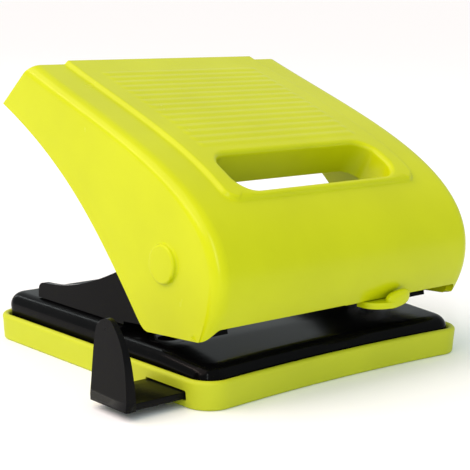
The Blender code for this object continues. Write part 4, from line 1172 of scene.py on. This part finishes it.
def build_pin(side_name, side):
    name = f"{side_name}_punch_pin"
    clip_name = f"{side_name}_pin_clip"
    low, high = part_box(name)
    clip_low, clip_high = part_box(clip_name)
    radius = (high.x - low.x) / 2
    neck = radius - 0.7 * MM
    edge = 0.15 * MM
    groove_low = clip_low.z - REST_GAP
    groove_high = clip_high.z + REST_GAP
    profile = [(0.0, low.z + 0.9 * MM), (radius - 0.35 * MM, low.z + 0.25 * MM), (radius, low.z)]
    profile += [(radius, groove_low - edge), (radius - edge, groove_low), (neck, groove_low)]
    profile += [(neck, groove_high), (radius - edge, groove_high), (radius, groove_high + edge)]
    profile += [(radius, high.z - 0.6 * MM), (radius - 0.18 * MM, high.z - 0.25 * MM)]
    profile += [(radius - 0.6 * MM, high.z), (0.0, high.z)]
    bm = turned(profile, (side * PIN_X, PIN_Y, 0.0), 80)
    finish_mesh(f"{name}_ground", bm, f"{side_name}_pin", STEEL, [name])
    outer = (clip_high.y - clip_low.y) / 2
    outline = arc((0.0, 0.0), outer, 32, 328, 56) + arc((0.0, 0.0), neck + REST_GAP, 328, 32, 44)
    clip_bm = prism(outline, clip_low.z, clip_high.z, "Z")
    bmesh.ops.translate(clip_bm, verts=clip_bm.verts, vec=(side * PIN_X, PIN_Y, 0.0))
    clip = finish_mesh(f"{clip_name}_stamped", clip_bm, f"{side_name}_pin", SPRING_STEEL, [clip_name])
    soften(clip, 0.1 * MM, 2)


def build_spring(side_name, side):
    """Wire coil whose end turns lie flat."""
    name = f"{side_name}_return_spring"
    low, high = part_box(name)
    wire = 0.35 * MM
    coil = (high.y - low.y) / 2 - wire
    bottom = low.z + wire
    top = high.z - wire
    turns = 5
    count = turns * 44
    sides = 14
    flat = 0.75 / turns  # share of the wire in the two end turns
    bm = bmesh.new()
    rings = []
    for k in range(count + 1):
        share = k / count
        angle = math.tau * turns * share
        rise = max(0.0, min(1.0, (share - flat * 0.5) / (1 - flat)))
        rise = smoothstep(-0.06, 0.06, share - flat * 0.5) * rise
        out = Vector((math.cos(angle), math.sin(angle), 0.0))
        middle = out * coil + Vector((0.0, 0.0, bottom + (top - bottom) * rise))
        ring = []
        for turn in [math.tau * j / sides for j in range(sides)]:
            offset = out * math.cos(turn) + Vector((0.0, 0.0, math.sin(turn)))
            ring.append(bm.verts.new(middle + offset * wire))
        rings.append(ring)
    stitch_all(bm, rings)
    bm.faces.new(rings[0])
    bm.faces.new(rings[-1])
    bmesh.ops.translate(bm, verts=bm.verts, vec=(side * PIN_X, PIN_Y, 0.0))
    spring = finish_mesh(f"{name}_wire", bm, "frame", SPRING_STEEL, [name])
    share = 1.0 - PIN_TRAVEL / (high.z - low.z)
    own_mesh(spring)


def cross_recess(size, depth, centre, axis="Z"):
    """Cross-shaped tool for the recess of a screw's head."""
    arm = size * 0.28
    shape = []
    for quarter_turn in range(4):
        turn = Matrix.Rotation(-quarter_turn * math.pi / 2, 2)
        shape += [tuple(turn @ Vector(p)) for p in ((-arm, size), (arm, size), (arm, arm))]
    bm = prism(shape, 0.0, depth, "Z")
    if axis == "Y":
        bmesh.ops.rotate(bm, verts=bm.verts, matrix=Matrix.Rotation(math.pi / 2, 3, "X"))
    bmesh.ops.translate(bm, verts=bm.verts, vec=centre)
    return bm


def build_handle_screw(side_name):
    name = f"{side_name}_handle_screw"
    low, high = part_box(name)
    x, y, _ = middle_of(name)
    head = 2.7 * MM
    top = low.z + 1.8 * MM
    core = 1.1 * MM
    crest = 1.4 * MM
    pitch = 0.9 * MM
    profile = [(0.0, low.z)]
    profile += [(head * math.sin(a), low.z + 1.1 * MM * (1 - math.cos(a))) for a in quarter(8)[1:]]
    profile += [(head, top - 0.1 * MM), (head - 0.1 * MM, top), (core, top)]
    z = top + 0.5 * MM
    while z + pitch < high.z - 1.3 * MM:
        profile += [(core, z), (crest, z + 0.4 * pitch), (crest, z + 0.5 * pitch), (core, z + 0.9 * pitch)]
        z += pitch
    profile += [(core, high.z - 1.2 * MM), (0.0, high.z)]
    screw = finish_mesh(f"{name}_turned", turned(profile, (x, y, 0.0), 48), "handle", ZINC, [name])
    boolean(screw, "DIFFERENCE", cross_recess(1.25 * MM, 1.5 * MM, (x, y, low.z - 0.4 * MM)))


def build_lock_screw():
    low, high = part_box("lock_screw")
    x, _, z = middle_of("lock_screw")
    radius = 1.0 * MM
    head = (high.x - low.x) / 2
    under_head = 1.4 * MM - high.y
    profile = [(0.0, -low.y), (radius, -low.y), (radius, under_head), (head, under_head)]
    profile += [(head, under_head - 0.8 * MM), (head - 0.25 * MM, under_head - 1.15 * MM)]
    profile += [(head - 0.8 * MM, -high.y), (0.0, -high.y)]
    screw_bm = turned(profile, (x, 0.0, z), 48, "Y")
    screw = finish_mesh("lock_screw_turned", screw_bm, "handle", ZINC, ["lock_screw"])
    boolean(screw, "DIFFERENCE", cross_recess(1.1 * MM, 1.1 * MM, (x, high.y + 0.3 * MM, z), "Y"))


def build_lever():
    """Cross bar and two arms with eyes and noses."""
    half, _, top = LEVER_HIGH
    bar_z = top - 2.0 * MM
    front = AXLE_Y - 5.0 * MM
    rear = AXLE_Y + 8.5 * MM
    bm = block((-half, front, bar_z), (half, rear, top))
    lever = finish_mesh("lever_pressing", bm, "handle", ZINC, ["press_lever"])
    eye = arc((AXLE_Y, AXLE_Z), 4.6 * MM, 180, 310, 22)
    nose = arc((PIN_Y, AXLE_Z), 3.0 * MM, 250, 390, 24)
    outline = [(front + 0.5 * MM, bar_z + MM)] + eye + nose + [(rear - MM, bar_z + MM)]
    arms = []
    holes = []
    for side_name, side in (("left", -1), ("right", 1)):
        inner = side * (PIN_X - 1.5 * MM)
        outer = side * (PIN_X + 1.3 * MM)
        arms.append(prism(outline, *sorted((inner, outer))))
        holes.append(turned(rod(AXLE_BORE, -3 * MM, 3 * MM), (side * PIN_X, AXLE_Y, AXLE_Z), 64, "X"))
        x, y, _ = middle_of(f"{side_name}_handle_screw")
        holes.append(turned(rod(1.7 * MM, bar_z - MM, top + MM), (x, y, 0.0), 48))
    boolean(lever, "UNION", *arms)
    boolean(lever, "DIFFERENCE", *holes)
    soften(lever, 0.25 * MM, 2, angle=50.0)


# ---- lock slider


def build_lock():
    """Thin tongue under the handle's front edge with a bulging thumb block at its right end."""
    low_x, tip, low_z = LOCK_LOW
    high_x, plate_rear, _ = LOCK_HIGH
    tongue_top = low_z + 1.8 * MM
    plate_front = LOCK_FACE + HANDLE_WALL + 3 * REST_GAP
    plate = block((low_x, plate_front, tongue_top - 0.6 * MM), (high_x, plate_rear, LOCK_HIGH[2]))
    lock = finish_mesh("lock_tab", plate, "lock", LIME, ["lock_slider"])
    under = LOCK_FACE + 1.6 * MM
    reach = under - tip
    half = 7.1 * MM
    bulge_x = high_x - 7.4 * MM
    bulge = [(bulge_x + half * math.cos(a), under - reach * math.sin(a)) for a in spread(0.0, math.pi, 28)]
    behind = plate_rear - 0.4 * MM
    tongue = [(bulge_x - half, behind), (bulge_x + half, behind)] + bulge
    boolean(lock, "UNION", prism(tongue, low_z, tongue_top, "Z"))
    screw = middle_of("lock_screw")
    radius = 1.3 * MM
    middle = (low_x + high_x) / 2
    travel = 8.0 * MM
    slot = arc((middle + travel / 2, screw.z), radius, -90, 90, 16)
    slot += arc((middle - travel / 2, screw.z), radius, 90, 270, 16)
    boolean(lock, "DIFFERENCE", prism(slot, plate_front - 2 * MM, plate_rear + 2 * MM, "Y"))
    soften(lock, 0.45 * MM, 3, angle=40.0)
    build_thumb(Vector((high_x - 8.8 * MM, tip - 0.1 * MM, low_z - 0.2 * MM)),
                Vector((high_x + 0.2 * MM, LOCK_FACE - 0.5 * MM, low_z + 4.5 * MM)))


def build_thumb(low, high):
    """Block with round edges and corners between two corners, a little higher at its right end."""
    fullness = 0.7
    tilt = 0.7 * MM
    centre = (low + high) / 2
    size = (high - low) / 2
    bm = bmesh.new()
    bmesh.ops.create_uvsphere(bm, u_segments=48, v_segments=28, radius=1.0)
    for vert in bm.verts:
        full = Vector([math.copysign(abs(value) ** fullness, value) for value in vert.co])
        vert.co = centre + full * size
        vert.co.z += tilt * full.x
    finish_mesh("lock_thumb", bm, "lock", LIME, smooth=80.0)


# ---- stage, camera and light


LIGHT_DISTANCE = 1.3
WARM = (1.0, 0.79, 0.72)
COOL = (0.93, 1.0, 1.0)


def build_stage():
    bm = bmesh.new()
    bmesh.ops.create_grid(bm, x_segments=1, y_segments=1, size=30.0)
    bmesh.ops.translate(bm, verts=bm.verts, vec=(0.0, 0.0, -0.02 * MM))
    mesh = bpy.data.meshes.new("floor")
    bm.to_mesh(mesh)
    bm.free()
    mesh.materials.append(Nodes("floor", (0.95, 0.97, 0.99), 0.8, specular=0.1).material)
    floor = bpy.data.objects.new("floor", mesh)
    bpy.context.collection.objects.link(floor)


def build_camera():
    place = Vector((-0.2651, -0.3033, 0.1076))
    target = Vector((-0.019994, -0.025643, 0.040))
    roll = math.radians(1.08)
    forward = (target - place).normalized()
    right = forward.cross(Vector((0.0, 0.0, 1.0))).normalized()
    up = right.cross(forward)
    x_axis = right * math.cos(roll) + up * math.sin(roll)
    y_axis = up * math.cos(roll) - right * math.sin(roll)
    data = bpy.data.cameras.new("camera")
    data.lens = 102.54
    data.sensor_width = 36.0
    data.clip_start = 0.01
    data.clip_end = 200.0
    camera = bpy.data.objects.new("camera", data)
    basis = Matrix((x_axis, y_axis, -forward)).transposed().to_4x4()
    camera.matrix_world = Matrix.Translation(place) @ basis
    bpy.context.collection.objects.link(camera)
    bpy.context.scene.camera = camera


def place_light(light, towards):
    """Stand a light away from the punch in a direction, looking back at it."""
    towards = towards.normalized()
    turn = towards.to_track_quat("Z", "Y").to_matrix().to_4x4()
    light.matrix_world = Matrix.Translation(towards * LIGHT_DISTANCE) @ turn
    bpy.context.collection.objects.link(light)


def build_light():
    world = bpy.data.worlds.new("soft_room")
    world.use_nodes = True
    background = world.node_tree.nodes["Background"]
    background.inputs["Color"].default_value = (*COOL, 1.0)
    background.inputs["Strength"].default_value = 0.63
    bpy.context.scene.world = world
    data = bpy.data.lights.new("key", "SUN")
    data.energy = 1.9
    data.angle = math.radians(60.0)
    data.color = WARM
    key = bpy.data.objects.new("key", data)
    place_light(key, Vector((-0.55, 0.2, 0.8)))
    for name, towards, width, length, power, colour in (
        ("left_tube", Vector((-0.9, 0.4, 0.8)), 1.2, 0.06, 3.2, WARM),
        ("rear_strip", Vector((-0.1, 0.8, 0.58)), 0.05, 0.9, 1.5, COOL),
        ("corner_strip", Vector((-0.74, -0.72, 0.55)), 0.03, 0.9, 3.6, COOL),
    ):
        data = bpy.data.lights.new(name, "AREA")
        data.shape = "RECTANGLE"
        data.size = width
        data.size_y = length
        data.energy = power
        data.color = colour
        strip = bpy.data.objects.new(name, data)
        strip.visible_camera = False
        place_light(strip, towards)
    scene = bpy.context.scene
    scene.view_settings.view_transform = "Standard"
    scene.view_settings.look = "None"


# ---- the whole scene


build_handle()
build_handle_insides()
build_base_plate()
build_tray()
build_guide()
build_axle()
build_lever()
build_lock()
build_lock_screw()
for side_name, side in (("left", -1), ("right", 1)):
    build_bracket(side_name, side)
    build_rivets(side_name, side)
    build_die(side_name, side)
    build_pin(side_name, side)
    build_spring(side_name, side)
    build_handle_screw(side_name)
build_stage()
build_camera()
build_light()
